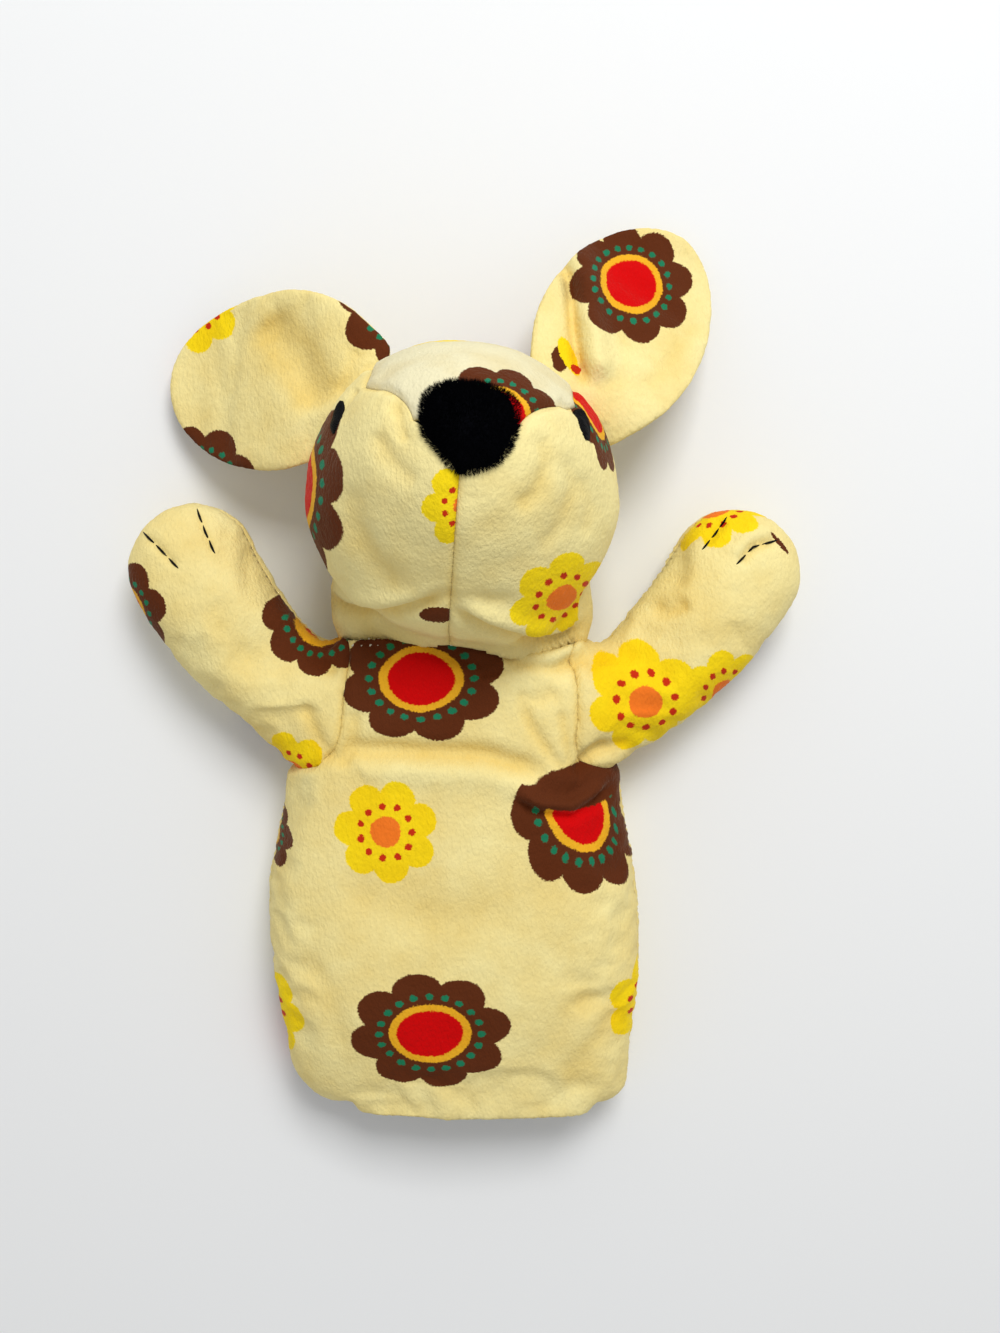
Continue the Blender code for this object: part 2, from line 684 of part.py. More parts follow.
def cheek(name, sign, parent):
    """A side of the head, from its seam with the gusset and the chin seam out to its pole."""
    half_gap = SEAM_GAP / HEAD_WIDTH
    full = 2 * math.pi
    ts = np.concatenate([
        np.linspace(GUSSET_START, GUSSET_END, 25),
        np.linspace(GUSSET_END, GUSSET_END + SEAM_TURN, 4)[1:],
        np.linspace(GUSSET_END + SEAM_TURN, GUSSET_START + full - SEAM_TURN, 13)[1:],
        np.linspace(GUSSET_START + full - SEAM_TURN, GUSSET_START + full, 4)[1:-1],
    ])
    outer, inner = [], []
    steps = CHEEK_STEPS
    under_chin = (GUSSET_END + GUSSET_START + full) / 2
    for t in ts:
        beyond = max(t - GUSSET_END, 0) if t < under_chin else GUSSET_START + full - t
        share = 1 - min(beyond / SEAM_TURN, 1)
        edge_t = GUSSET_START if t > under_chin else min(t, GUSSET_END)
        start = share * gusset_half(edge_t) + (1 + 0.8 * share) * half_gap
        sides = sign * np.linspace(start, math.pi / 2, steps + 1)[:-1]
        outer.append(head_skin(t, sides)[0])
        inner.append(head_skin(t, sides, CLOTH)[0])
    pole_out = head_skin(0.0, sign * math.pi / 2)[0]
    pole_in = head_skin(0.0, sign * math.pi / 2, CLOTH)[0]
    points = np.vstack(outer + inner + [pole_out[None], pole_in[None]])
    rows, count = len(ts), len(ts) * steps
    faces = []
    for i in range(rows):
        n = (i + 1) % rows
        for j in range(steps - 1):
            a, b = i * steps + j, n * steps + j
            faces.append([a, a + 1, b + 1, b])
            faces.append([b + count, b + 1 + count, a + 1 + count, a + count])
        a, b = i * steps + steps - 1, n * steps + steps - 1
        faces.append([a, 2 * count, b])
        faces.append([b + count, 2 * count + 1, a + count])
        a, b = i * steps, n * steps
        faces.append([a, b, b + count, a + count])
    return add_object(name, points, faces, "plush", parent)


def head_ball(name, inset, material_name, parent):
    """The whole head, set in or out, as one closed skin."""
    ts = np.radians(np.arange(0, 360, 7.5))
    sides = np.radians(np.linspace(-80, 80, 17))
    rows = [head_skin(t, sides, inset)[0] for t in ts]
    poles = [head_skin(0.0, math.radians(90 * s), inset)[0] for s in (-1, 1)]
    points = np.vstack(rows + [p[None] for p in poles])
    wide, count = len(sides), len(ts) * len(sides)
    faces = []
    for i in range(len(ts)):
        n = (i + 1) % len(ts)
        for j in range(wide - 1):
            faces.append([i * wide + j, i * wide + j + 1, n * wide + j + 1, n * wide + j])
        faces.append([i * wide, n * wide, count])
        faces.append([i * wide + wide - 1, count + 1, n * wide + wide - 1])
    return add_object(name, points, faces, material_name, parent)


def block(name, low, high, parent):
    low, high = np.array(low), np.array(high)
    corners = [[(low, high)[(k >> axis) & 1][axis] for axis in range(3)] for k in range(8)]
    faces = [(0, 1, 3, 2), (4, 5, 7, 6), (0, 1, 5, 4), (2, 3, 7, 6), (0, 2, 6, 4), (1, 3, 7, 5)]
    return add_object(name, corners, faces, "lining", parent)


def nose_outline(extra):
    """A rounded top and a point towards the chin, across the muzzle."""
    half, tall = NOSE_WIDTH / 2, NOSE_HEIGHT / 2
    top = [(half * math.cos(a), tall * 0.10 + tall * 0.90 * math.sin(a))
           for a in np.radians(np.arange(0, 181, 18))]
    low = [(-half * 0.93, -tall * 0.30), (-half * 0.50, -tall * 0.72), (0, -tall),
           (half * 0.50, -tall * 0.72), (half * 0.93, -tall * 0.30)]
    return [(x * (1 + extra / half), y * (1 + extra / tall) - NOSE_DROP) for x, y in top + low]


def nose_prism(name, extra, parent):
    """The nose's outline drawn out along the muzzle's heading."""
    way = np.array([0, math.sin(MUZZLE_TILT), math.cos(MUZZLE_TILT)])
    up = np.array([0, math.cos(MUZZLE_TILT), -math.sin(MUZZLE_TILT)])
    outline = nose_outline(extra)
    points = []
    for reach in (MUZZLE_REACH * 0.55, MUZZLE_REACH * 1.4):
        points += [way * reach + up * v + np.array([u, 0, 0]) for u, v in outline]
    points = to_world(np.array(points))
    n = len(outline)
    faces = [list(range(n)), list(range(2 * n - 1, n - 1, -1))]
    faces += [[i, (i + 1) % n, (i + 1) % n + n, i + n] for i in range(n)]
    return add_object(name, points, faces, "lining", parent)


def build_head(parent):
    neck_cut = hide_cutter(block("neck_cut", (-FAR, -FAR, -FAR), (FAR, SEAM_GAP / 2, FAR), parent))
    filling_cut = hide_cutter(block("filling_cut", (-FAR, -FAR, -FAR), (FAR, FILLING_START, FAR), parent))
    nose_hole = hide_cutter(nose_prism("nose_hole", SEAM_GAP / 2, parent))
    nose_plug = hide_cutter(nose_prism("nose_plug", -SEAM_GAP / 2, parent))
    cheeks = [cheek("head_left", -1, parent), cheek("head_right", 1, parent)]
    ts = np.linspace(GUSSET_START, GUSSET_END, 26)
    rows = [(t, np.linspace(-1, 1, 9) * (gusset_half(t) - SEAM_GAP / HEAD_WIDTH)) for t in ts]
    gusset = head_panel("head_gusset", rows, "brow_plush", parent)
    for skin in cheeks + [gusset]:
        cut(skin, neck_cut)
        cut(skin, nose_hole)
    nose_rows = [(t, np.radians(np.linspace(-26, 26, 9))) for t in np.radians(np.linspace(-8, 46, 9))]
    nose = head_panel("nose", nose_rows, "black_plush", parent)
    cut(nose, nose_plug, "INTERSECT")
    filling = head_ball("head_filling", CLOTH + FIT_GAP, "filling", parent)
    cut(filling, filling_cut)
    cut(filling, hide_cutter(pocket_space(parent)))
    build_pocket(parent)
    build_eyes(parent)


def neck_ring(radius, y):
    """A circle, or any ring of radii, across the neck at y."""
    turns = np.linspace(0, 2 * math.pi, NECK_TURNS, endpoint=False)
    middle = np.array([0, y, body_height() / 2])
    return middle + np.column_stack([np.cos(turns), 0 * turns, np.sin(turns)]) * np.reshape(radius, (-1, 1))


def neck_reach(y):
    """How far the head's skin is from the middle of the neck, all round it at y."""
    low, high = np.full(NECK_TURNS, POCKET_BORE / 2), np.full(NECK_TURNS, NECK_WIDTH)
    for _ in range(32):
        middle = (low + high) / 2
        places = turned(neck_ring(middle, y) - np.array([HEAD_X, HEAD_Y, HEAD_Z]), -HEAD_TURN)
        outside = head_field(places) < 0
        high = np.where(outside, middle, high)
        low = np.where(outside, low, middle)
    return high


def lofted(name, rings, tips, material_name, parent):
    """A closed skin through rings of equal count, closed by a tip at each end."""
    count = len(rings[0])
    points = list(np.vstack(rings)) + [np.array(tip) for tip in tips]
    faces = []
    for i in range(len(rings) - 1):
        for j in range(count):
            n = (j + 1) % count
            faces.append([i * count + j, i * count + n, (i + 1) * count + n, (i + 1) * count + j])
    for ring, tip in ((0, len(points) - 2), (len(rings) - 1, len(points) - 1)):
        faces += [[ring * count + j, ring * count + (j + 1) % count, tip] for j in range(count)]
    return add_object(name, points, faces, material_name, parent)


def pocket_space(parent):
    """The round room for the finger pocket in the stuffing."""
    radius = POCKET_BORE / 2 + LINING + SEAM_GAP
    rings = [neck_ring(radius, -FILLING_START), neck_ring(radius, POCKET_DEPTH + LINING + SEAM_GAP)]
    return lofted("pocket_space", rings, [ring.mean(axis=0) for ring in rings], "lining", parent)


def build_pocket(parent):
    """A blind sleeve for the finger, with a collar of the same cloth that closes the neck."""
    skin = neck_ring(neck_reach(SEAM_GAP), SEAM_GAP)
    along = np.roll(skin, -1, axis=0) - np.roll(skin, 1, axis=0)
    inwards = np.column_stack([-along[:, 2], 0 * along[:, 0], along[:, 0]])
    inwards /= np.linalg.norm(inwards, axis=1)[:, None]
    collar = skin + inwards * (CLOTH + COLLAR_GAP)
    bore, sleeve = POCKET_BORE / 2, POCKET_BORE / 2 + LINING
    rings = [
        neck_ring(bore, POCKET_DEPTH),
        neck_ring(bore, SEAM_GAP),
        collar,
        collar + np.array([0, LINING, 0]),
        neck_ring(sleeve, SEAM_GAP + LINING),
        neck_ring(sleeve, POCKET_DEPTH + LINING),
    ]
    tips = [rings[0].mean(axis=0), rings[-1].mean(axis=0)]
    return lofted("finger_pocket", rings, tips, "lining", parent)


def build_eyes(parent):
    """Raised ovals of black stitching on the sides of the head."""
    middle_radius = HEAD_WIDTH / 2
    for side, sign in SIDES.items():
        rings, around = 4, 16
        top, bottom = [], []
        for ring in range(1, rings + 1):
            share = math.sin(math.pi / 2 * ring / rings)
            rise = EYE_HEIGHT * math.cos(math.pi / 2 * ring / rings) + EYE_RIM
            for k in range(around):
                turn = 2 * math.pi * k / around
                along = EYE_LENGTH / 2 * share * math.cos(turn) / middle_radius
                across = EYE_WIDTH / 2 * share * math.sin(turn) / middle_radius
                t = EYE_T + along / math.cos(EYE_SIDE)
                lateral = sign * (EYE_SIDE + across)
                top.append(head_skin(t, lateral, -SEAM_GAP - rise)[0])
                bottom.append(head_skin(t, lateral, -SEAM_GAP)[0])
        top.append(head_skin(EYE_T, sign * EYE_SIDE, -SEAM_GAP - EYE_HEIGHT - EYE_RIM)[0])
        bottom.append(head_skin(EYE_T, sign * EYE_SIDE, -SEAM_GAP)[0])
        count = rings * around + 1
        faces = []
        for base, flip in ((0, False), (count, True)):
            for k in range(around):
                n = (k + 1) % around
                fan = [base + count - 1, base + k, base + n]
                faces.append(fan[::-1] if flip else fan)
                for ring in range(rings - 1):
                    a, b = base + ring * around, base + (ring + 1) * around
                    quad = [a + k, b + k, b + n, a + n]
                    faces.append(quad[::-1] if flip else quad)
        edge = (rings - 1) * around
        for k in range(around):
            n = (k + 1) % around
            faces.append([edge + k, count + edge + k, count + edge + n, edge + n])
        add_object(side + "_eye", np.vstack([np.array(top), np.array(bottom)]), faces, "black_thread", parent)


# Ears


def ear_outline():
    """Along the ear from its root, and across it."""
    full = EAR_LENGTH * EAR_WIDEST
    root = EAR_ROOT / 2
    flare = [(full * s, root + (EAR_WIDTH / 2 - root) * math.sin(math.pi / 2 * s) ** 0.9)
             for s in np.linspace(0, 1, 8)]
    tip = [(full + (EAR_LENGTH - full) * math.sin(a), EAR_WIDTH / 2 * math.cos(a))
           for a in np.radians(np.linspace(10, 90, 9))]
    upper = flare + tip
    return upper, [(s, -c) for s, c in upper]


def build_ears(parent):
    envelope = hide_cutter(head_ball("head_space", -SEAM_GAP * 1.5, "lining", parent))
    for side, sign in SIDES.items():
        upper, lower = ear_outline()
        edge = resample(lower + upper[::-1][1:], EDGE_STEP)
        root = graded(edge[-1], edge[0])
        plan = Plan([(edge, True), (np.array(root), False)], [], GRID_STEP)
        swell = plan.swell(EAR_EDGE_REACH)
        swell /= swell.max()
        along, across = plan.points[:, 0], plan.points[:, 1]
        seat, _ = head_skin(math.pi / 2, sign * (math.pi / 2 - EAR_SEAT))
        swing = EAR_SWING[side]
        heading = np.array([sign * math.cos(swing), math.sin(swing)])
        beside = np.array([-heading[1], heading[0]]) * sign
        start = seat[:2] - heading * EAR_TUCK
        flat = start + along[:, None] * heading + across[:, None] * beside
        droop = ease((along - EAR_TUCK) / (EAR_LENGTH - EAR_TUCK))
        z = HEAD_Z + (EAR_TIP_HEIGHT + CLOTH - HEAD_Z) * droop
        offset = across / EAR_WIDTH - EAR_CREASE_ACROSS[side]
        goes, gone = (share * EAR_LENGTH for share in EAR_CREASE_END)
        crease = np.exp(-(offset / EAR_CREASE_WIDTH) ** 2) * ease((along - EAR_TUCK) / EAR_CREASE_START)
        crease *= ease((gone - along) / (gone - goes))
        z = z + EAR_CREASE[side] * crease
        for face, up in (("front", 1), ("back", -1)):
            outside = z + up * (SEAM_GAP / 2 + EAR_RIM + (CLOTH - EAR_RIM) * swell)
            within = z + up * SEAM_GAP / 2
            outer = np.column_stack([flat, outside])
            inner = np.column_stack([flat, within])
            name = side + "_ear_" + face
            ear = panel(name, plan, plan.faces, outer, inner, [], "plush", parent)
            cut(ear, envelope)


def place_on_floor(parent):
    """Moves the whole puppet so that the middle of its box stands at the origin, on the floor."""
    bpy.context.view_layer.update()
    depsgraph = bpy.context.evaluated_depsgraph_get()
    corners = []
    for thing in bpy.data.objects:
        if thing.type in {"MESH", "CURVE"} and not thing.hide_render:
            shape = thing.evaluated_get(depsgraph).to_mesh()
            corners += [thing.matrix_world @ v.co for v in shape.vertices]
    corners = np.array([tuple(p) for p in corners])
    low, high = corners.min(axis=0), corners.max(axis=0)
    parent.location = (-(low[0] + high[0]) / 2, -(low[1] + high[1]) / 2, -low[2])


def main():
    clear_scene()
    parent = bpy.data.objects.new("puppet", None)
    bpy.context.collection.objects.link(parent)
    panels = build_glove(parent)
    build_toe_stitches(panels, parent)
    build_head(parent)
    build_ears(parent)
    place_on_floor(parent)
    bpy.context.view_layer.update()


main()
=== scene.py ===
# %% [markdown]
# A dog hand puppet, sewn from printed plush, lies on its back with its arms up. The body and the arms
# are a flat glove that opens at the hem. The head is stuffed round a finger pocket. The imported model
# gives every piece its place and size, and this script gives each of them its cloth, seams and print.

# %% Load the frame
import math

import bpy
import numpy as np
from mathutils import Matrix, Vector, geometry, kdtree, noise
from mathutils.bvhtree import BVHTree


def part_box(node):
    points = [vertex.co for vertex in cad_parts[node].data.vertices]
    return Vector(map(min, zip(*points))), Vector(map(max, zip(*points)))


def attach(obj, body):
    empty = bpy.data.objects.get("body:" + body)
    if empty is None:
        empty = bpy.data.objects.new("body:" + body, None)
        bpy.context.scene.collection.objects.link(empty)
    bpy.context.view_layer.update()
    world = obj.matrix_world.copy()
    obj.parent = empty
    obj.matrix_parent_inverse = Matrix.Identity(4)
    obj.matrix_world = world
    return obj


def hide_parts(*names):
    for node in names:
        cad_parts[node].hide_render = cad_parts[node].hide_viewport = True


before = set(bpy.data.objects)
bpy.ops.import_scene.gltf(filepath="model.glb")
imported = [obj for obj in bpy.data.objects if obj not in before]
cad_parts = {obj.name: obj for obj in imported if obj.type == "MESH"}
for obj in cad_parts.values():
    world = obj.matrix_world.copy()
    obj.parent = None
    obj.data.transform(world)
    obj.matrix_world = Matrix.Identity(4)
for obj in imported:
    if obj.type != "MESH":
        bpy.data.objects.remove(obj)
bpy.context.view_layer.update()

MM = 0.001
glove_low, glove_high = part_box("body_front")
neck_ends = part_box("left_arm_front")[1][0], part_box("right_arm_front")[0][0]
NECK_SEAM = np.array([sum(neck_ends) / 2, glove_high[1], 0.0])
print("nodes", len(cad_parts), "neck seam at", NECK_SEAM.round(5))

# %% [markdown]
# The photograph looks almost straight down. A camera half a metre above the floor sees the puppet with
# the same perspective. Two helpers turn a place into a pixel of the photograph and a pixel into a ray,
# so that a crease or a flower can be put where the photograph has it.

# %% Camera
PHOTO_WIDE, PHOTO_HIGH = 1000, 1333
FOCAL_PIXELS = 1459.85
LENS_SENSOR = 36.0
AIM = NECK_SEAM + np.array([12.62, -10.02, 0.0]) * MM
CAMERA_REACH = 500 * MM
CAMERA_TILT = math.radians(5.5)

away = np.array([0, math.sin(CAMERA_TILT), math.cos(CAMERA_TILT)])
picture_up = np.array([0, math.cos(CAMERA_TILT), -math.sin(CAMERA_TILT)])
eye_place = AIM + away * CAMERA_REACH
lens = bpy.data.cameras.new("camera")
lens.sensor_fit = "HORIZONTAL"
lens.sensor_width = LENS_SENSOR
lens.lens = FOCAL_PIXELS / PHOTO_WIDE * LENS_SENSOR
lens.clip_start = 0.01
camera = bpy.data.objects.new("camera", lens)
axes = Matrix([(1, 0, 0), tuple(picture_up), tuple(away)]).transposed()
camera.matrix_world = Matrix.Translation(Vector(eye_place)) @ axes.to_4x4()
bpy.context.collection.objects.link(camera)
bpy.context.scene.camera = camera
print("lens", round(lens.lens, 2), "mm")


# %% From places to pixels and back
def seen_at(places):
    """The photograph's pixel for each place."""
    offset = np.asarray(places) - eye_place
    depth = -(offset @ away)
    across = PHOTO_WIDE / 2 + FOCAL_PIXELS * offset[..., 0] / depth
    down = PHOTO_HIGH / 2 - FOCAL_PIXELS * (offset @ picture_up) / depth
    return np.stack([across, down], axis=-1)


def sight(pixel):
    """The way from the camera through a pixel."""
    x = (pixel[0] - PHOTO_WIDE / 2) / FOCAL_PIXELS
    y = (PHOTO_HIGH / 2 - pixel[1]) / FOCAL_PIXELS
    way = np.array([x, 0, 0]) + y * picture_up - away
    return way / np.linalg.norm(way)


def place_over(pixel, height):
    """The place at a height over the floor that a pixel shows."""
    way = sight(pixel)
    return eye_place + way * (height - eye_place[2]) / way[2]


print("neck seam at pixel", seen_at(NECK_SEAM).round(1))

# %% [markdown]
# The light is that of a bright room: a pale sky all round and one large soft lamp high up beyond the
# head, so that folds which run across the puppet show.
# The floor is plain and pale, and it keeps the puppet's soft shadow.

# %% Light and floor
SKY_LIGHT = 0.50
LAMP_PLACE = (0.22, 0.72, 1.00)
LAMP_SIZE = 0.5
LAMP_POWER = 10.5

view = bpy.context.scene.view_settings
view.view_transform = "Standard"
world = bpy.data.worlds.new("room")
bpy.context.scene.world = world
world.use_nodes = True
sky = world.node_tree.nodes
sky_links = world.node_tree.links
sky["Background"].inputs["Color"].default_value = (1, 1, 1, 1)
rays = sky.new("ShaderNodeLightPath")
seen = sky.new("ShaderNodeMath")
seen.operation = "MAXIMUM"
sky_links.new(rays.outputs["Is Camera Ray"], seen.inputs[0])
sky_links.new(rays.outputs["Is Glossy Ray"], seen.inputs[1])
seen_all = sky.new("ShaderNodeMath")
seen_all.operation = "MAXIMUM"
sky_links.new(seen.outputs[0], seen_all.inputs[0])
sky_links.new(rays.outputs["Is Transmission Ray"], seen_all.inputs[1])
power = sky.new("ShaderNodeMapRange")
power.inputs["To Min"].default_value = SKY_LIGHT
power.inputs["To Max"].default_value = 1.0
sky_links.new(seen_all.outputs[0], power.inputs["Value"])
sky_links.new(power.outputs["Result"], sky["Background"].inputs["Strength"])

lamp_data = bpy.data.lights.new("window", "AREA")
lamp_data.size = LAMP_SIZE
lamp_data.energy = LAMP_POWER
lamp = bpy.data.objects.new("window", lamp_data)
lamp.location = LAMP_PLACE
lamp.rotation_euler = (-Vector(LAMP_PLACE)).to_track_quat("-Z", "Y").to_euler()
bpy.context.collection.objects.link(lamp)

bpy.ops.mesh.primitive_grid_add(x_subdivisions=2, y_subdivisions=2, size=6)
floor = bpy.context.object
floor.name = "floor"
floor_finish = bpy.data.materials.new("floor_paint")
floor_finish.use_nodes = True
floor_shader = floor_finish.node_tree.nodes["Principled BSDF"]
floor_shader.inputs["Base Color"].default_value = (0.835, 0.845, 0.850, 1)
floor_shader.inputs["Roughness"].default_value = 0.9
floor_shader.inputs["Specular IOR Level"].default_value = 0.1
floor.data.materials.append(floor_finish)
print("lamp", LAMP_POWER, "W, sky", SKY_LIGHT)

# %% [markdown]
# A finish is a net of nodes. This small helper writes such a net as sums, which keeps the recipes for
# the print and the pile short enough to read.


# %% Node helper
class Net:
    """Nodes of one tree, made and linked by plain calls."""

    def __init__(self, tree):
        """Works in the node tree of a material or a group."""
        self.tree = tree

    def node(self, kind, links=None, **settings):
        """A new node with some settings, its inputs fed by name."""
        made = self.tree.nodes.new(kind)
        for key, value in settings.items():
            setattr(made, key, value)
        for name, value in (links or {}).items():
            self.feed(made.inputs[name], value)
        return made

    def feed(self, socket, value):
        """Links an output to a socket, or sets the socket to a plain value."""
        if isinstance(value, bpy.types.NodeSocket):
            self.tree.links.new(value, socket)
        else:
            socket.default_value = value

    def math(self, operation, *values, clamp=False):
        """The output of a sum."""
        made = self.node("ShaderNodeMath", operation=operation, use_clamp=clamp)
        for socket, value in zip(made.inputs, values):
            self.feed(socket, value)
        return made.outputs[0]

    def vector(self, operation, *values):
        """The output of a sum of vectors."""
        made = self.node("ShaderNodeVectorMath", operation=operation)
        for socket, value in zip(made.inputs, values):
            self.feed(socket, value)
        return made.outputs["Value" if operation in {"DOT_PRODUCT", "LENGTH"} else "Vector"]

    def below(self, value, limit, softness):
        """1 where the value is under the limit, with a soft edge."""
        made = self.node("ShaderNodeMapRange", {"Value": value}, interpolation_type="SMOOTHSTEP")
        self.feed(made.inputs["From Min"], self.math("SUBTRACT", limit, softness))
        self.feed(made.inputs["From Max"], self.math("ADD", limit, softness))
        made.inputs["To Min"].default_value = 1.0
        made.inputs["To Max"].default_value = 0.0
        return made.outputs["Result"]

    def mix(self, share, a, b):
        """A blend of two colours: a where the share is 0, b where it is 1."""
        made = self.node("ShaderNodeMix", data_type="RGBA")
        self.feed(made.inputs[0], share)
        self.feed(made.inputs[6], a)
        self.feed(made.inputs[7], b)
        return made.outputs[2]


def new_group(name, inputs, outputs):
    """An empty node group with named sockets, and its net."""
    tree = bpy.data.node_groups.new(name, "ShaderNodeTree")
    for label, kind, value in inputs:
        socket = tree.interface.new_socket(label, in_out="INPUT", socket_type="NodeSocket" + kind)
        if value is not None:
            socket.default_value = value
    for label, kind in outputs:
        tree.interface.new_socket(label, in_out="OUTPUT", socket_type="NodeSocket" + kind)
    net = Net(tree)
    return tree, net, net.node("NodeGroupInput").outputs, net.node("NodeGroupOutput").inputs


# %% [markdown]
# The print is a retro daisy that comes in two colourings. Round a middle disc lie a ring, a circle of
# dots and a wreath of round petals. Each of them is a distance from the flower's middle, so one group
# draws both kinds from a handful of numbers. The pile makes the edges ragged, which a noise does here.

# %% The printed daisy
FLOWER_INPUTS = [
    ("Cloth", "Color", (0.8, 0.7, 0.4, 1)), ("Middle", "Vector", None), ("Across", "Vector", None),
    ("Up", "Vector", None), ("Out", "Vector", None), ("Fray", "Vector", None),
    ("Petals", "Float", 8.0), ("Petal Turn", "Float", 0.0), ("Petal Place", "Float", 0.014),
    ("Petal Size", "Float", 0.0075), ("Ring Size", "Float", 0.0104), ("Disc Size", "Float", 0.0083),
    ("Dots", "Float", 20.0), ("Dot Place", "Float", 0.013), ("Dot Size", "Float", 0.0009),
    ("Petal Colour", "Color", (0.1, 0.02, 0.01, 1)), ("Ring Colour", "Color", (0.8, 0.4, 0.02, 1)),
    ("Disc Colour", "Color", (0.6, 0.01, 0.01, 1)), ("Dot Colour", "Color", (0.02, 0.3, 0.15, 1)),
    ("Depth", "Float", 0.014),
]
EDGE_SOFT = 0.22 * MM
DEPTH_SOFT = 0.5 * MM
daisy, net, given, result = new_group("printed_daisy", FLOWER_INPUTS, [("Colour", "Color")])
here = net.node("ShaderNodeTexCoord").outputs["Object"]
offset = net.vector("SUBTRACT", here, given["Middle"])
frayed = net.vector("ADD", offset, given["Fray"])
across = net.vector("DOT_PRODUCT", frayed, given["Across"])
upward = net.vector("DOT_PRODUCT", frayed, given["Up"])
depth = net.math("ABSOLUTE", net.vector("DOT_PRODUCT", offset, given["Out"]))
radius = net.math("SQRT", net.math("ADD", net.math("MULTIPLY", across, across),
                                   net.math("MULTIPLY", upward, upward)))
angle = net.math("ARCTAN2", upward, across)


def folded_angle(count, turn):
    """The angle to the nearest of count spokes."""
    share = net.math("DIVIDE", net.math("MULTIPLY", net.math("SUBTRACT", angle, turn), count), 2 * math.pi)
    part = net.math("SUBTRACT", net.math("FRACT", net.math("ADD", share, 0.5)), 0.5)
    return net.math("DIVIDE", net.math("MULTIPLY", part, 2 * math.pi), count)


def spoke_gap(spoke_angle, place):
    """The distance to the spot at a radius on the nearest spoke."""
    x = net.math("SUBTRACT", net.math("MULTIPLY", radius, net.math("COSINE", spoke_angle)), place)
    y = net.math("MULTIPLY", radius, net.math("SINE", spoke_angle))
    return net.math("SQRT", net.math("ADD", net.math("MULTIPLY", x, x), net.math("MULTIPLY", y, y)))


petal_gap = spoke_gap(folded_angle(given["Petals"], given["Petal Turn"]), given["Petal Place"])
dot_gap = spoke_gap(folded_angle(given["Dots"], 0.0), given["Dot Place"])
petal = net.math("MAXIMUM", net.below(petal_gap, given["Petal Size"], EDGE_SOFT),
                 net.below(radius, given["Petal Place"], EDGE_SOFT))
near = net.below(depth, given["Depth"], DEPTH_SOFT)
colour = net.mix(net.math("MULTIPLY", petal, near), given["Cloth"], given["Petal Colour"])
for gap, size, tint in ((dot_gap, "Dot Size", "Dot Colour"), (radius, "Ring Size", "Ring Colour"),
                        (radius, "Disc Size", "Disc Colour")):
    shape = net.math("MULTIPLY", net.below(gap, given[size], EDGE_SOFT), near)
    colour = net.mix(shape, colour, given[tint])
net.feed(result["Colour"], colour)
print("printed_daisy has", len(daisy.nodes), "nodes")

# %% [markdown]
# Plush is short pile on a knitted back. Where it is brushed one way it looks paler, and it parts into small
# tufts. One group makes both: slow patches of tone and a fine height for the tufts, whose dips are painted
# darker as painted shade. Each panel also carries how far its cloth sinks into a fold. There the cream is
# painted deeper, as painted shade of light passing from hair to hair, and on the rolls it is painted paler,
# as painted light.

# %% Pile
pile, net, given, result = new_group(
    "short_pile",
    [("Colour", "Color", (0.8, 0.7, 0.4, 1)), ("Tuft", "Float", 0.0007), ("Patch", "Float", 0.016),
     ("Tone", "Float", 0.14), ("Deep Shade", "Color", (0.90, 0.74, 0.42, 1))],
    [("Colour", "Color"), ("Height", "Float"), ("Roughness", "Float")])
here = net.node("ShaderNodeTexCoord").outputs["Object"]
streaked = net.vector("MULTIPLY", here, (1.0, 0.55, 0.8))
tuft = net.node("ShaderNodeTexNoise", {"Vector": streaked, "Detail": 2.0, "Roughness": 0.6,
                                       "Scale": net.math("DIVIDE", 1.0, given["Tuft"])})
clump = net.node("ShaderNodeTexVoronoi", {"Vector": streaked,
                                          "Scale": net.math("DIVIDE", 0.55, given["Tuft"])})
patch = net.node("ShaderNodeTexNoise", {"Vector": here, "Detail": 3.0, "Roughness": 0.55,
                                        "Scale": net.math("DIVIDE", 1.0, given["Patch"])})
height = net.math("SUBTRACT", net.math("MULTIPLY", tuft.outputs["Fac"], 0.75),
                  net.math("MULTIPLY", clump.outputs["Distance"], 0.35))
patch_tone = net.math("MULTIPLY", net.math("SUBTRACT", patch.outputs["Fac"], 0.5), 2.2)
# Painted shade: the dips between the tufts are painted darker and their tops lighter.
tuft_shade = net.math("MULTIPLY", net.math("SUBTRACT", height, 0.2), 0.9)
patch_tone_and_tuft_shade = net.math("ADD", net.math("MULTIPLY", patch_tone, 0.3), tuft_shade)
tone_and_shade = net.math("MULTIPLY", patch_tone_and_tuft_shade, given["Tone"])
# Painted shade: where the cloth sinks into a fold the cream is painted deeper, and on a roll it is painted
# paler, as painted light.
hollow_shade = net.node("ShaderNodeAttribute", attribute_name="hollow_shade").outputs["Fac"]
hollow_shade_and_patch = net.math("MULTIPLY", net.math("SUBTRACT", hollow_shade, patch_tone), 0.45)
shade_and_patch_share = net.math("ADD", hollow_shade_and_patch, 0.25, clamp=True)
shade_and_patch_colour = net.vector("MULTIPLY", given["Colour"], given["Deep Shade"])
shade = net.node("ShaderNodeHueSaturation", {"Color": net.mix(shade_and_patch_share, given["Colour"], shade_and_patch_colour)})
net.feed(shade.inputs["Value"], net.math("ADD", tone_and_shade, 1.0))
net.feed(result["Colour"], shade.outputs["Color"])
net.feed(result["Height"], height)
net.feed(result["Roughness"], net.math("ADD", 0.78, net.math("MULTIPLY", height, 0.2)))
print("short_pile has", len(pile.nodes), "nodes")

# %% [markdown]
# The print's ragged edge is the same all over the cloth, so it is a group of its own: a slow wobble of
# the whole drawing and a fast jitter from one tuft to the next.

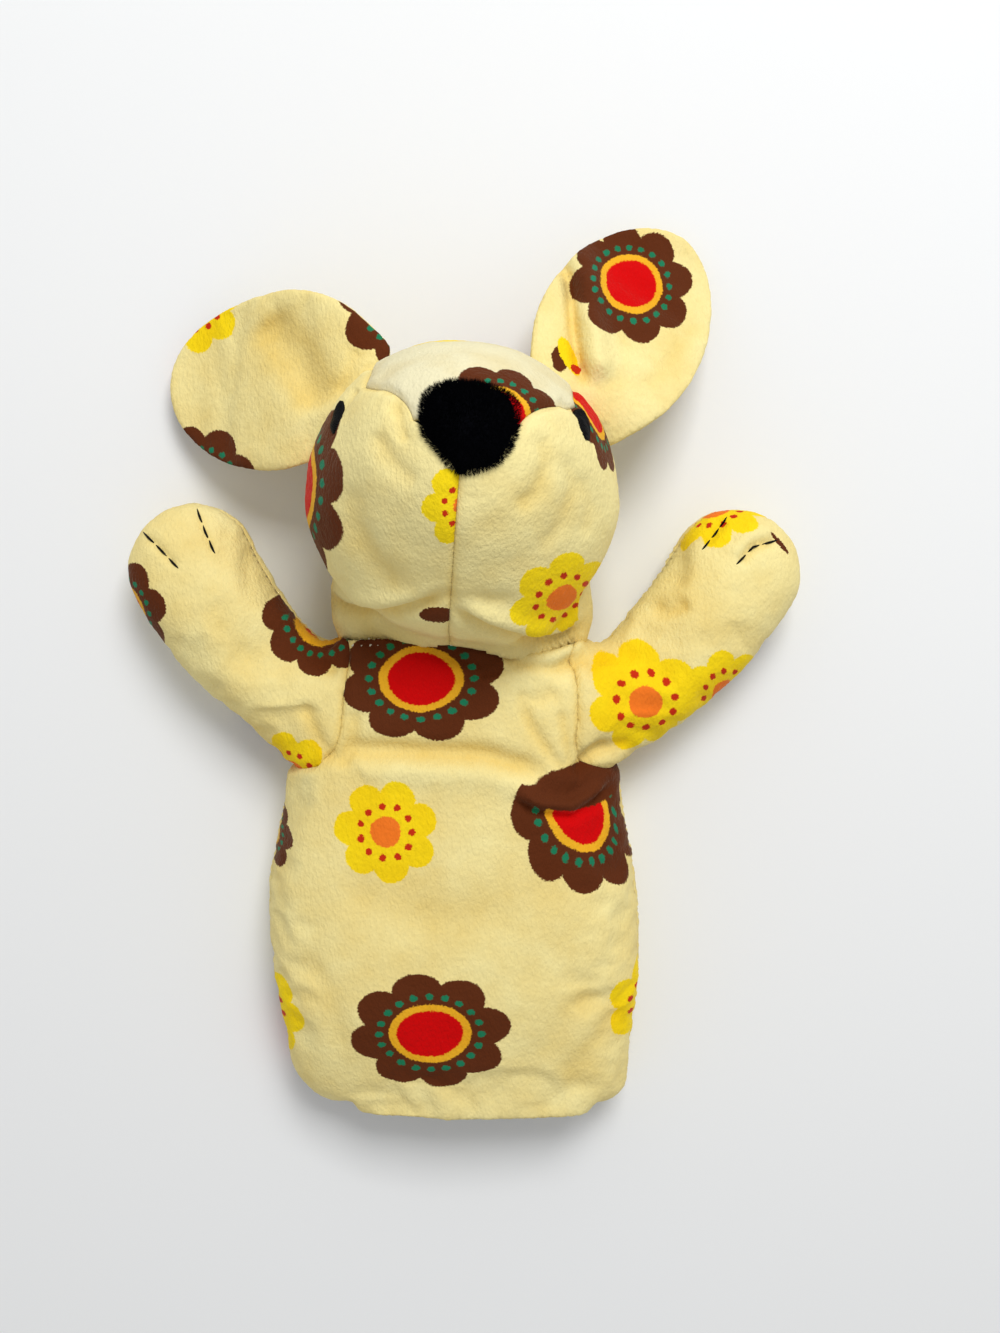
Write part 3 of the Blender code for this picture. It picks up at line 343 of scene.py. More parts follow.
# %% Ragged edges
fray, net, given, result = new_group(
    "ragged_edge", [("Wobble", "Float", 0.0016), ("Jitter", "Float", 0.0011)], [("Shift", "Vector")])
here = net.node("ShaderNodeTexCoord").outputs["Object"]
slow = net.node("ShaderNodeTexNoise", {"Vector": here, "Scale": 95.0, "Detail": 1.0})
fast = net.node("ShaderNodeTexNoise", {"Vector": here, "Scale": 1500.0, "Detail": 1.0})
shifts = []
for source, size in ((slow, "Wobble"), (fast, "Jitter")):
    centred = net.vector("SUBTRACT", source.outputs["Color"], (0.5, 0.5, 0.5))
    scaled = net.node("ShaderNodeVectorMath", {0: centred}, operation="SCALE")
    net.feed(scaled.inputs["Scale"], given[size])
    shifts.append(scaled.outputs["Vector"])
net.feed(result["Shift"], net.vector("ADD", *shifts))
print("ragged_edge has", len(fray.nodes), "nodes")

# %% [markdown]
# The two colourings of the daisy. The brown one is the larger, with a red disc in a golden ring and
# green dots. The yellow one has an orange disc and red dots. A patch is one plain round spot: it stands
# for a scrap of a flower at a seam, or in the cloth's own colour it ends a flower where a fold hides it.
# Places and sizes are millimetres.

# %% Colours and flower kinds
CREAM = (0.860, 0.742, 0.340, 1)
BROW_CREAM = (0.775, 0.715, 0.470, 1)
BROWN = (0.105, 0.026, 0.008, 1)
RED = (0.620, 0.002, 0.003, 1)
GOLD = (0.820, 0.430, 0.022, 1)
GREEN = (0.014, 0.200, 0.105, 1)
YELLOW = (0.930, 0.690, 0.010, 1)
ORANGE = (0.880, 0.200, 0.022, 1)
DOT_RED = (0.560, 0.030, 0.008, 1)

FLOWER_KINDS = {
    "brown": {"Petals": 8.0, "Petal Place": 14.0, "Petal Size": 6.6, "Ring Size": 10.4, "Disc Size": 8.3,
              "Dots": 20.0, "Dot Place": 12.9, "Dot Size": 1.05, "Petal Colour": BROWN,
              "Ring Colour": GOLD, "Disc Colour": RED, "Dot Colour": GREEN},
    "yellow": {"Petals": 7.0, "Petal Place": 10.8, "Petal Size": 5.4, "Ring Size": 1.0, "Disc Size": 4.7,
               "Dots": 11.0, "Dot Place": 8.1, "Dot Size": 1.10, "Petal Colour": YELLOW,
               "Ring Colour": ORANGE, "Disc Colour": ORANGE, "Dot Colour": DOT_RED},
    "patch": {"Petals": 3.0, "Petal Place": 0.0, "Petal Size": 5.0, "Ring Size": 0.5, "Disc Size": 0.5,
              "Dots": 3.0, "Dot Place": 0.0, "Dot Size": 0.5, "Petal Colour": BROWN,
              "Ring Colour": BROWN, "Disc Colour": BROWN, "Dot Colour": BROWN},
}
print("flower kinds", ", ".join(FLOWER_KINDS))


# %% A flower on a surface
FLOWER_HEIGHT = 20
PRINT_DEPTH = 30 * MM
FACE_UP = (0, 0, 1)


def surface_of(*things):
    """The meshes of some pieces, ready for rays."""
    places, faces = [], []
    for thing in things:
        start = len(places)
        places += [v.co for v in thing.data.vertices]
        faces += [tuple(k + start for k in p.vertices) for p in thing.data.polygons]
    return BVHTree.FromPolygons(places, faces)


def flower_seat(tree, spot):
    """The place, and the axes across, up and out, of a flower on a surface."""
    if "pixel" in spot:
        place, out, _, _ = tree.ray_cast(Vector(eye_place), Vector(sight(spot["pixel"])))
        if place is None:
            guess = place_over(spot["pixel"], spot.get("height", FLOWER_HEIGHT) * MM)
            beside, _, _, _ = tree.find_nearest(Vector(guess))
            place, out = place_over(spot["pixel"], beside[2]), FACE_UP
    else:
        place, out, _, _ = tree.find_nearest(Vector(NECK_SEAM + np.array(spot["place"]) * MM))
    out = np.array(spot.get("out", out), float)
    out /= np.linalg.norm(out)
    guide = np.array(spot.get("guide", (0, 1, 0)), float)
    up = guide - (guide @ out) * out
    up /= np.linalg.norm(up)
    across = np.cross(up, out)
    turn = math.radians(spot.get("turn", 0))
    stretch = spot.get("stretch", (1, 1))
    size = spot.get("size", 1.0)
    turned_across = (math.cos(turn) * across + math.sin(turn) * up) / (stretch[0] * size)
    turned_up = (math.cos(turn) * up - math.sin(turn) * across) / (stretch[1] * size)
    return tuple(place), tuple(turned_across), tuple(turned_up), tuple(out)


def plush_finish(name, base, spots=(), tree=None):
    """A pile finish whose colour is the cloth's, with flowers printed at the spots."""
    made = bpy.data.materials.new(name)
    made.use_nodes = True
    net = Net(made.node_tree)
    shader = made.node_tree.nodes["Principled BSDF"]
    colour = None
    if spots:
        ragged = net.node("ShaderNodeGroup", node_tree=fray)
        for spot in spots:
            flower = net.node("ShaderNodeGroup", node_tree=daisy)
            middle, across, up, out = flower_seat(tree, spot)
            values = {key: value * MM if key.endswith(("Place", "Size")) else value
                      for key, value in FLOWER_KINDS[spot["kind"]].items()}
            if "tint" in spot:
                values.update({key: spot["tint"] for key in values if key.endswith("Colour")})
            values.update({"Middle": middle, "Across": across, "Up": up, "Out": out,
                           "Fray": ragged.outputs["Shift"], "Petal Turn": spot.get("petal_turn", 0.0),
                           "Depth": PRINT_DEPTH, "Cloth": colour or base})
            for label, value in values.items():
                net.feed(flower.inputs[label], value)
            colour = flower.outputs["Colour"]
    nap = net.node("ShaderNodeGroup", {"Colour": colour or base}, node_tree=pile)
    net.feed(shader.inputs["Base Color"], nap.outputs["Colour"])
    net.feed(shader.inputs["Roughness"], nap.outputs["Roughness"])
    bump = net.node("ShaderNodeBump", {"Strength": 0.55, "Distance": 0.9 * MM,
                                       "Height": nap.outputs["Height"]})
    net.feed(shader.inputs["Normal"], bump.outputs["Normal"])
    shader.inputs["Sheen Weight"].default_value = 0.12
    shader.inputs["Sheen Roughness"].default_value = 0.30
    shader.inputs["Sheen Tint"].default_value = (1.0, 0.90, 0.66, 1)
    shader.inputs["Specular IOR Level"].default_value = 0.06
    return made


# %% [markdown]
# Inside the cloth is its knitted back, a pale net of fine loops, and the pocket is lined with the same
# knit. Rows of loops are two sine waves across each other, and the gaps between the loops are painted
# darker, as painted shade.

# %% Knitted back
knit, net, given, result = new_group(
    "knit", [("Colour", "Color", (0.8, 0.75, 0.6, 1)), ("Loop", "Float", 0.0009)],
    [("Colour", "Color"), ("Height", "Float")])
here = net.node("ShaderNodeTexCoord").outputs["Object"]
parts = net.node("ShaderNodeSeparateXYZ", {"Vector": here}).outputs
rate = net.math("DIVIDE", 2 * math.pi, given["Loop"])
wale = net.math("SINE", net.math("MULTIPLY", net.math("ADD", parts["X"], parts["Z"]), rate))
course = net.math("SINE", net.math("MULTIPLY", parts["Y"], rate))
height = net.math("MULTIPLY", net.math("ADD", net.math("MULTIPLY", wale, course), 1.0), 0.5)
# Painted shade: the gaps between the loops are painted darker.
loop_shade = net.math("ADD", 0.86, net.math("MULTIPLY", height, 0.2))
shade = net.node("ShaderNodeHueSaturation", {"Color": given["Colour"], "Value": loop_shade})
net.feed(result["Colour"], shade.outputs["Color"])
net.feed(result["Height"], height)


def knit_finish(name, base, loop):
    """A knit of one colour with loops of one size."""
    made = bpy.data.materials.new(name)
    made.use_nodes = True
    net = Net(made.node_tree)
    shader = made.node_tree.nodes["Principled BSDF"]
    loops = net.node("ShaderNodeGroup", {"Colour": base, "Loop": loop}, node_tree=knit)
    net.feed(shader.inputs["Base Color"], loops.outputs["Colour"])
    bump = net.node("ShaderNodeBump", {"Strength": 0.6, "Distance": 0.2 * MM,
                                       "Height": loops.outputs["Height"]})
    net.feed(shader.inputs["Normal"], bump.outputs["Normal"])
    shader.inputs["Roughness"].default_value = 0.9
    shader.inputs["Specular IOR Level"].default_value = 0.1
    return made


BACK_LOOP = 0.9 * MM
POCKET_LOOP = 0.7 * MM
knit_back = knit_finish("knit_back", (0.80, 0.74, 0.56, 1), BACK_LOOP)
pocket_knit = knit_finish("pocket_knit", (0.82, 0.80, 0.72, 1), POCKET_LOOP)
print("knit loops", BACK_LOOP / MM, "and", POCKET_LOOP / MM, "mm")


# %% [markdown]
# Black thread makes the eyes and the toes. It is twisted, so its height winds along the strand, and it
# shines a little where the strands turn. The dips between the strands are painted a shade darker, as
# painted shade.

# %% Thread
def thread_finish():
    """Black thread whose strands show as a fine noise, with painted shade in the dips between them."""
    made = bpy.data.materials.new("black_thread")
    made.use_nodes = True
    net = Net(made.node_tree)
    shader = made.node_tree.nodes["Principled BSDF"]
    here = net.node("ShaderNodeTexCoord").outputs["Object"]
    strand = net.node("ShaderNodeTexNoise", {"Vector": here, "Scale": 2600.0, "Detail": 1.0})
    # Painted shade: the dips between the strands are painted darker.
    strand_shade = net.mix(strand.outputs["Fac"], (0.001, 0.001, 0.001, 1), (0.006, 0.006, 0.006, 1))
    net.feed(shader.inputs["Base Color"], strand_shade)
    bump = net.node("ShaderNodeBump", {"Strength": 0.4, "Distance": 0.1 * MM,
                                       "Height": strand.outputs["Fac"]})
    net.feed(shader.inputs["Normal"], bump.outputs["Normal"])
    shader.inputs["Roughness"].default_value = 0.38
    shader.inputs["Specular IOR Level"].default_value = 0.05
    return made


black_thread = thread_finish()
print("black_thread has", len(black_thread.node_tree.nodes), "nodes")

# %% [markdown]
# The glove is cut from a flat pattern, so its outline comes first, as the pattern maker would draw it:
# hem, hip, armpit, an arm that bends like a banana, a round paw, and the shoulder up to the neck.

# %% Pattern sizes
BODY_LENGTH = glove_high[1] - glove_low[1]
BODY_WIDTH = 125 * MM
WAIST_WIDTH = 112 * MM
HEM_REACH = {"left": 56 * MM, "right": 59 * MM}
HEM_CORNER = {"left": 22 * MM, "right": 11 * MM}
FLANK_BOW = 1.25
HIP_SHIFT = -2.8 * MM
HIP_SHIFT_START = 20 * MM
HIP_SHIFT_LENGTH = 30 * MM
HEM_TUCK = 2.4 * MM
ARM_SAG = 2.4 * MM
NECK_WIDTH = 82 * MM
NECK_PANEL = 72 * MM
SIDE_SEAM_HEIGHT = 15 * MM
FRONT_RISE = 25 * MM
HEM_FALL = 0.30
HEM_FALL_LENGTH = 50 * MM
BACK_FLATNESS = 1.35
EDGE_REACH = 14 * MM
ARM_LENGTH = 82.5 * MM
SHOULDER_WIDTH = 36.6 * MM
PAW_WIDTH = 42 * MM
SHOULDER = np.array([50.0, -21.5]) * MM
ARMPIT_Y = -41 * MM
ARM_RAISE = {"left": math.radians(39), "right": math.radians(37)}
ARM_BEND = math.radians(24)
CLOTH = 2.0 * MM
CUT_STEP = 2.7 * MM
SIDES = {"left": -1, "right": 1}
ARM_REACH = ARM_LENGTH - PAW_WIDTH / 2
SHOULDER_SHARE = 0.19
ARMHOLE_LEAN = 1.5 * MM
ARMHOLE_STRAIGHT = 15 * MM
ARMHOLE_PULL = 0.5 * MM
print("body", round(BODY_LENGTH / MM, 1), "by", BODY_WIDTH / MM, "mm")


# %% Pattern lines
def ease(x):
    """A soft step from 0 to 1 while x goes from 0 to 1."""
    x = np.clip(x, 0, 1)
    return x * x * (3 - 2 * x)


def resample(points, step):
    """The same line with even steps, its ends kept."""
    points = np.asarray(points, float)
    lengths = np.linalg.norm(np.diff(points, axis=0), axis=1)
    along = np.concatenate([[0], np.cumsum(lengths)])
    wanted = np.linspace(0, along[-1], max(2, int(round(along[-1] / step)) + 1))
    return np.column_stack([np.interp(wanted, along, points[:, k]) for k in range(points.shape[1])])


def arm_line(side, along):
    """A place on an arm's centre line and the way the arm heads there, on the +X side."""
    radius = ARM_REACH / ARM_BEND
    start = ARM_RAISE[side]
    end = start + ARM_BEND * along / ARM_REACH
    place = SHOULDER + radius * np.array([math.sin(end) - math.sin(start), math.cos(start) - math.cos(end)])
    return place, np.array([math.cos(end), math.sin(end)])


def arm_outline(side):
    """From the armpit along the arm's lower edge, round the paw and back to the neck."""
    lower, upper = [], []
    for along in np.linspace(0, ARM_REACH, 24):
        place, heading = arm_line(side, along)
        half = (SHOULDER_WIDTH + (PAW_WIDTH - SHOULDER_WIDTH) * ease(along / ARM_REACH)) / 2
        across = np.array([-heading[1], heading[0]]) * half
        lower.append(place - across)
        if along > SHOULDER_SHARE * ARM_REACH:
            upper.append(place + across)
    across = np.array([-heading[1], heading[0]])
    cap = [place + PAW_WIDTH / 2 * (math.cos(turn) * heading + math.sin(turn) * across)
           for turn in np.radians(np.linspace(-80, 80, 17))]
    return lower + cap + upper[::-1]


def right_edge(side):
    """The sewn edge on the +X side, from the hem to the neck, and where the armpit is on it."""
    hem, waist, radius = HEM_REACH[side], WAIST_WIDTH / 2, HEM_CORNER[side]
    bulge = BODY_WIDTH / 2 - (hem + waist) / 2
    corner = [(hem - radius * (1 - math.sin(turn)), radius * (1 - math.cos(turn)) - BODY_LENGTH)
              for turn in np.radians(np.linspace(0, 90, 9))]
    side_length = ARMPIT_Y + BODY_LENGTH - radius
    flank = [(hem + (waist - hem) * v + bulge * math.sin(math.pi * v) ** FLANK_BOW,
              radius - BODY_LENGTH + side_length * v) for v in np.linspace(0, 1, 30)]
    body = resample(corner + flank[1:], CUT_STEP)
    arm = resample([flank[-1]] + arm_outline(side) + [(NECK_WIDTH / 2, 0.0)], CUT_STEP)
    return np.vstack([body, arm[1:]]), len(body) - 1


def armhole():
    """The seam between body and arm on the +X side, from the neck to the armpit."""
    top = np.array([NECK_PANEL / 2, 0.0])
    armpit = np.array([WAIST_WIDTH / 2, ARMPIT_Y])
    low = np.array([top[0] + ARMHOLE_LEAN, ARMPIT_Y + ARMHOLE_STRAIGHT])
    pull = np.array([low[0] + ARMHOLE_PULL, ARMPIT_Y])
    bend = [low * (1 - s) ** 2 + pull * 2 * s * (1 - s) + armpit * s * s for s in np.linspace(0, 1, 30)]
    return resample([top] + bend, CUT_STEP)


def mirrored(points):
    """Flat points on the other side of the middle."""
    return np.asarray(points) * [-1, 1]


print("arm outline", len(arm_outline("left")), "points")

# %% Tests on a pattern
def inside(points, outline):
    """Even-odd test of points against a closed outline."""
    found = np.zeros(len(points), bool)
    for a, b in zip(outline, np.roll(outline, -1, axis=0)):
        crosses = (a[1] > points[:, 1]) != (b[1] > points[:, 1])
        rise = b[1] - a[1] if abs(b[1] - a[1]) > 1e-12 else 1e-12
        found ^= crosses & (points[:, 0] < a[0] + (points[:, 1] - a[1]) * (b[0] - a[0]) / rise)
    return found


def line_gap(points, line):
    """For each point its distance to a line of points, on which side it lies, and how far along."""
    points, line = np.asarray(points, float), np.asarray(line, float)
    best = np.full(len(points), np.inf)
    side = np.zeros(len(points))
    along = np.zeros(len(points))
    lengths = np.linalg.norm(np.diff(line, axis=0), axis=1)
    starts = np.concatenate([[0], np.cumsum(lengths)])
    for k, (a, b) in enumerate(zip(line[:-1], line[1:])):
        run = b - a
        share = np.clip(((points - a) @ run) / max(run @ run, 1e-18), 0, 1)
        offset = points - a - share[:, None] * run
        gap = np.linalg.norm(offset, axis=1)
        nearer = gap < best
        best[nearer] = gap[nearer]
        turn = run[0] * offset[:, 1] - run[1] * offset[:, 0]
        side[nearer] = np.sign(turn)[nearer]
        along[nearer] = (starts[k] + share * lengths[k])[nearer] / starts[-1]
    return best, side, along


# %% [markdown]
# The pattern is filled with an even net of triangles, which the cloth simulation likes. A ring of
# points beside each seam lets the cloth roll into it.

# %% Pattern net
SEAM_RING = 1.2 * MM
ROW_SHARE = 0.87
SAME_PLACE = 1e-6


def nearest_ids(points, line):
    """The row of the point that is nearest to each place of a line."""
    return [int(np.linalg.norm(points - p, axis=1).argmin()) for p in line]


def fill_pattern(edge_lines, inner_lines, step):
    """Points and triangles that fill closed edges and keep the lines that cross them."""
    outline = np.vstack([line[:-1] for line in edge_lines])
    places = [tuple(p) for p in outline]
    links = [(k, (k + 1) % len(outline)) for k in range(len(outline))]
    for line in inner_lines:
        ids = []
        for p in line:
            gap = np.linalg.norm(outline - p, axis=1)
            if gap.min() < SAME_PLACE:
                ids.append(int(gap.argmin()))
            else:
                ids.append(len(places))
                places.append(tuple(p))
        links += list(zip(ids[:-1], ids[1:]))
    lines = list(edge_lines) + list(inner_lines)
    rings = []
    for line in lines:
        run = np.gradient(line, axis=0)
        normal = np.column_stack([run[:, 1], -run[:, 0]]) / np.linalg.norm(run, axis=1)[:, None]
        rings += [line + normal * SEAM_RING, line - normal * SEAM_RING]
    rings = np.vstack(rings)
    ring_gap = np.min([line_gap(rings, line)[0] for line in lines], axis=0)
    rings = rings[inside(rings, outline) & (ring_gap > SEAM_RING * 0.9)]
    low, high = outline.min(axis=0), outline.max(axis=0)
    rows = np.arange(low[1], high[1], step * ROW_SHARE)
    net_points = np.array([(x + (k % 2) * step / 2, y) for k, y in enumerate(rows)
                           for x in np.arange(low[0], high[0], step)])
    net_gap = np.min([line_gap(net_points, line)[0] for line in lines], axis=0)
    net_points = net_points[inside(net_points, outline) & (net_gap > SEAM_RING + step * 0.45)]
    places += [tuple(p) for p in np.vstack([rings, net_points])]
    points, _, faces, _, _, _ = geometry.delaunay_2d_cdt([Vector(p) for p in places], links, [], 1, 1e-7)
    return np.array([tuple(p) for p in points]), np.array([tuple(f) for f in faces])


def on_line(points, line):
    """Which points lie on a line."""
    return line_gap(points, line)[0] < SAME_PLACE


# %% [markdown]
# Cloth that is sewn together at its edge and blown up from inside rises like a soap film: steeply at
# the seam and level in the middle. The height of such a film follows from one set of linear equations.


# %% Swelling
SWELL_STEPS = 220
SWELL_REST = 1e-12


def swell(points, faces, held, reach):
    """Heights from 0 on held points towards 1 far from them, by conjugate gradients."""
    a, b, c = (points[faces[:, k]] for k in range(3))
    twice = np.abs((b - a)[:, 0] * (c - a)[:, 1] - (b - a)[:, 1] * (c - a)[:, 0])
    area = np.bincount(faces.ravel(), np.repeat(twice / 6, 3), len(points))
    starts, ends, weights = [], [], []
    for k in range(3):
        p, q, r = (points[faces[:, (k + n) % 3]] for n in range(3))
        starts.append(faces[:, k])
        ends.append(faces[:, (k + 1) % 3])
        weights.append(((p - r) * (q - r)).sum(axis=1) / (2 * twice))
    i, j, w = np.concatenate(starts), np.concatenate(ends), np.concatenate(weights)
    free = ~held

    def pull(height):
        """What the film's equations give for some heights."""
        flow = w * (height[i] - height[j])
        total = np.bincount(i, flow, len(points)) - np.bincount(j, flow, len(points))
        return (reach ** 2 * total + area * height) * free

    height = np.zeros(len(points))
    rest = area * free
    way = rest.copy()
    for _ in range(SWELL_STEPS):
        pulled = pull(way)
        step = (rest @ rest) / (way @ pulled)
        height += step * way
        new_rest = rest - step * pulled
        way = new_rest + (new_rest @ new_rest) / (rest @ rest) * way
        rest = new_rest
        if np.abs(rest).max() < SWELL_REST:
            break
    return np.sqrt(np.clip(height, 0, None))


# %% Glove pattern
right_line, right_pit = right_edge("right")
left_line, left_pit = right_edge("left")
left_line = mirrored(left_line)[::-1]
hem_line = resample([left_line[-1], right_line[0]], CUT_STEP)
armholes = {"right": armhole(), "left": mirrored(armhole())}
neck_line = np.vstack([resample([right_line[-1], armholes["right"][0]], CUT_STEP),
                       resample([armholes["right"][0], armholes["left"][0]], CUT_STEP)[1:],
                       resample([armholes["left"][0], left_line[0]], CUT_STEP)[1:]])
glove_points, glove_faces = fill_pattern([left_line, hem_line, right_line, neck_line],
                                         list(armholes.values()), CUT_STEP)
glove_sewn = on_line(glove_points, left_line) | on_line(glove_points, right_line)
glove_open = on_line(glove_points, hem_line) | on_line(glove_points, neck_line)
face_middles = glove_points[glove_faces].mean(axis=1)
left_arm = np.vstack([armholes["left"], left_line[::-1][left_pit + 1:]])
right_arm = np.vstack([armholes["right"], right_line[right_pit + 1:]])
PANELS = ["body", "left_arm", "right_arm"]
face_panel = np.zeros(len(glove_faces), int)
face_panel[inside(face_middles, left_arm)] = 1
face_panel[inside(face_middles, right_arm)] = 2
print("glove pattern:", len(glove_points), "points,", len(glove_faces), "triangles")

# %% [markdown]
# Front and back are the same pattern, one swollen up and one down. The back is nearly flat, because it
# lies on the floor. Together with two lids at hem and neck they make one closed bag.

# %% The bag
rise = swell(glove_points, glove_faces, glove_sewn, EDGE_REACH)
rise /= rise.max()
towards_hem = ease((-glove_points[:, 1] - BODY_LENGTH + HEM_FALL_LENGTH) / HEM_FALL_LENGTH)
front_height = SIDE_SEAM_HEIGHT + FRONT_RISE * rise * (1 - HEM_FALL * towards_hem)
back_height = SIDE_SEAM_HEIGHT * (1 - np.sin(np.pi / 2 * np.clip(BACK_FLATNESS * rise, 0, 1)))
hips = HIP_SHIFT * ease((-glove_points[:, 1] - HIP_SHIFT_START) / HIP_SHIFT_LENGTH)
out_on_arms = ease((np.abs(glove_points[:, 0]) - SHOULDER[0]) / ARM_REACH)
sags = HEM_TUCK * towards_hem - ARM_SAG * out_on_arms
laid = glove_points + np.column_stack([hips, sags])
count = len(glove_points)
back_row = np.where(glove_sewn, np.arange(count), np.cumsum(~glove_sewn) - 1 + count)
bag = np.vstack([np.column_stack([laid, front_height]),
                 np.column_stack([laid, back_height])[~glove_sewn]]) + NECK_SEAM
bag_faces = [tuple(f) for f in glove_faces] + [tuple(back_row[f][::-1]) for f in glove_faces]
lids = []
for line in (hem_line, neck_line):
    ids = nearest_ids(glove_points, line)
    for a, b in zip(ids[:-1], ids[1:]):
        lids.append(list(dict.fromkeys((b, a, int(back_row[a]), int(back_row[b])))))
bag_panel = np.concatenate([face_panel, face_panel + len(PANELS), np.full(len(lids), 2 * len(PANELS))])
print("bag:", len(bag), "points")


# %% Mesh helpers
def mesh_object(name, points, faces, smooth=True):
    """A new object from points and faces."""
    mesh = bpy.data.meshes.new(name)
    mesh.from_pydata([tuple(p) for p in points], [], [tuple(int(k) for k in f) for f in faces])
    mesh.update()
    if smooth:
        mesh.shade_smooth()
    made = bpy.data.objects.new(name, mesh)
    bpy.context.collection.objects.link(made)
    return made


def places_of(thing):
    """The places of a piece's points as its modifiers leave them."""
    shape = thing.evaluated_get(bpy.context.evaluated_depsgraph_get()).to_mesh()
    places = np.empty(len(shape.vertices) * 3)
    shape.vertices.foreach_get("co", places)
    return places.reshape(-1, 3)


def point_normals(places, faces):
    """Normals of a mesh at its points."""
    total = np.zeros_like(places)
    for size in sorted({len(f) for f in faces}):
        group = np.array([f for f in faces if len(f) == size])
        normal = np.cross(places[group[:, 1]] - places[group[:, 0]],
                          places[group[:, size - 1]] - places[group[:, 0]])
        for k in range(size):
            for axis in range(3):
                total[:, axis] += np.bincount(group[:, k], normal[:, axis], len(places))
    length = np.linalg.norm(total, axis=1)
    return total / np.maximum(length, 1e-12)[:, None]


# %% [markdown]
# Where the head is sewn to the glove, the cloth bunches up and the seam runs crooked. Its bends are
# heights over the straight seam at places across it. In front, the head's hem lies over the body's.

# %% The crooked neck seam
NECK_BENDS = [(-44, 1.2), (-12, 1.4), (-3, 1.0), (6, -0.2), (14, -2.2), (22, -3.4), (30, -2.6), (36, 0.2),
              (41, 1.4)]
NECK_SMOOTHING = (-5, -2, 0, 2, 5)
NECK_RISE = 0.4
NECK_BEND_FADE = 24 * MM
NECK_BEND_FLOOR = 14 * MM
NECK_HEM = 3.5 * MM
NECK_OVERLAP = 1.5 * MM
NECK_STEP = 0.8 * MM
NECK_STEP_FLOOR = 18 * MM
NECK_STEP_FADE = 8 * MM


print("neck bends", len(NECK_BENDS))


def neck_lift(offset):
    """How far the neck seam lies above or below its straight line."""
    bends = np.array(NECK_BENDS) * MM
    lifts = [np.interp(offset[:, 0] + k * MM, bends[:, 0], bends[:, 1]) for k in NECK_SMOOTHING]
    return sum(lifts) / len(lifts) * ease(offset[:, 2] / NECK_BEND_FLOOR - 1)


def bend_neck(places):
    """Shifts the front of the neck up or down as the scrunched seam runs in the photograph."""
    offset = places - NECK_SEAM
    lift = neck_lift(offset) * ease(1 - np.abs(offset[:, 1]) / NECK_BEND_FADE)
    return places + np.column_stack([0 * lift, lift, NECK_RISE * np.maximum(lift, 0)])


def hem_in(places, moves, gap, past):
    """Moves the points of a panel, but only along the neck seam where they are near it, and past it.

    In front the head's hem rises by NECK_STEP and the body's sinks as much, so one lies over the other.
    """
    share = ease(1 - gap / NECK_HEM)
    along = moves[:, 1] * (1 - share) + past * share
    step = -np.sign(past) * NECK_STEP * share * ease((places[:, 2] - NECK_STEP_FLOOR) / NECK_STEP_FADE)
    return places + np.column_stack([moves[:, 0], along, moves[:, 2] + step])


# %% [markdown]
# The bag is now blown up as cloth. The seams hold still and the panels between them have a little
# cloth to spare, so they puff and pucker along the stitches as real panels do. Each point may only
# move a few millimetres, so the glove keeps its size.

# %% Blow up the bag
PUFF_LIMIT = 2.0 * MM
PUFF_FRAMES = 20
PUFF_PRESSURE = 4.0
CLOTH_STIFFNESS = 12
CLOTH_BENDING = 1.2
GLOVE_SPARE = 0.035


def blow_up(name, places, faces, held, spare, limit):
    """A closed skin after a short cloth simulation under pressure."""
    thing = mesh_object(name, places, faces)
    pins = thing.vertex_groups.new(name="pins")
    pins.add([int(k) for k in np.flatnonzero(held)], 1.0, "REPLACE")
    cloth = thing.modifiers.new("cloth", "CLOTH")
    settings = cloth.settings
    settings.quality = 6
    settings.vertex_group_mass = "pins"
    settings.use_pressure = True
    settings.uniform_pressure_force = PUFF_PRESSURE
    settings.shrink_min = -spare
    settings.tension_stiffness = CLOTH_STIFFNESS
    settings.compression_stiffness = CLOTH_STIFFNESS
    settings.bending_stiffness = CLOTH_BENDING
    settings.effector_weights.gravity = 0
    cloth.collision_settings.use_collision = False
    scene = bpy.context.scene
    for step in range(1, PUFF_FRAMES + 1):
        scene.frame_set(step)
    blown = places_of(thing)
    scene.frame_set(1)
    bpy.data.objects.remove(thing, do_unlink=True)
    move = blown - places
    far = np.linalg.norm(move, axis=1)
    return places + move * (np.minimum(far, limit) / np.maximum(far, 1e-9))[:, None]


all_faces = bag_faces + lids
bag_held = np.zeros(len(bag), bool)
bag_held[:count] = glove_sewn | glove_open
bag_held[back_row[glove_open]] = True
blown = blow_up("bag", bag, all_faces, bag_held, GLOVE_SPARE, PUFF_LIMIT)
print("bag moved up to", round(np.linalg.norm(blown - bag, axis=1).max() / MM, 2), "mm")
bag = blown
bag[:, 2] = np.maximum(bag[:, 2], 0.0)

# %% [markdown]
# One subdivision rounds the facets off. After it, the finest forms are laid on along the normals: the
# seam's valley, its puckers, the uneven pile and the folds that the photograph shows.


# %% Subdivide
def subdivided(places, faces, tags):
    """Points, faces and face tags after one step of Catmull and Clark."""
    thing = mesh_object("rough", places, faces)
    for _ in range(int(tags.max()) + 1):
        thing.data.materials.append(None)
    thing.data.polygons.foreach_set("material_index", tags)
    thing.modifiers.new("round", "SUBSURF").levels = 1
    shape = thing.evaluated_get(bpy.context.evaluated_depsgraph_get()).to_mesh()
    fine = np.array([tuple(v.co) for v in shape.vertices])
    fine_faces = [tuple(p.vertices) for p in shape.polygons]
    fine_tags = np.array([p.material_index for p in shape.polygons])
    bpy.data.objects.remove(thing, do_unlink=True)
    return fine, fine_faces, fine_tags


bag = bend_neck(bag)
fine_bag, fine_faces, fine_tags = subdivided(bag, all_faces, bag_panel)
print("fine bag:", len(fine_bag), "points")


# %% Seam valleys
SEAM_STEP = 0.5 * MM
LINE_BREAK = 1.0
PUCKER_PLACE = 3.2 * MM
PUCKER_WIDTH = 2.6 * MM
TUFTS = [(1.6, 0.16)]


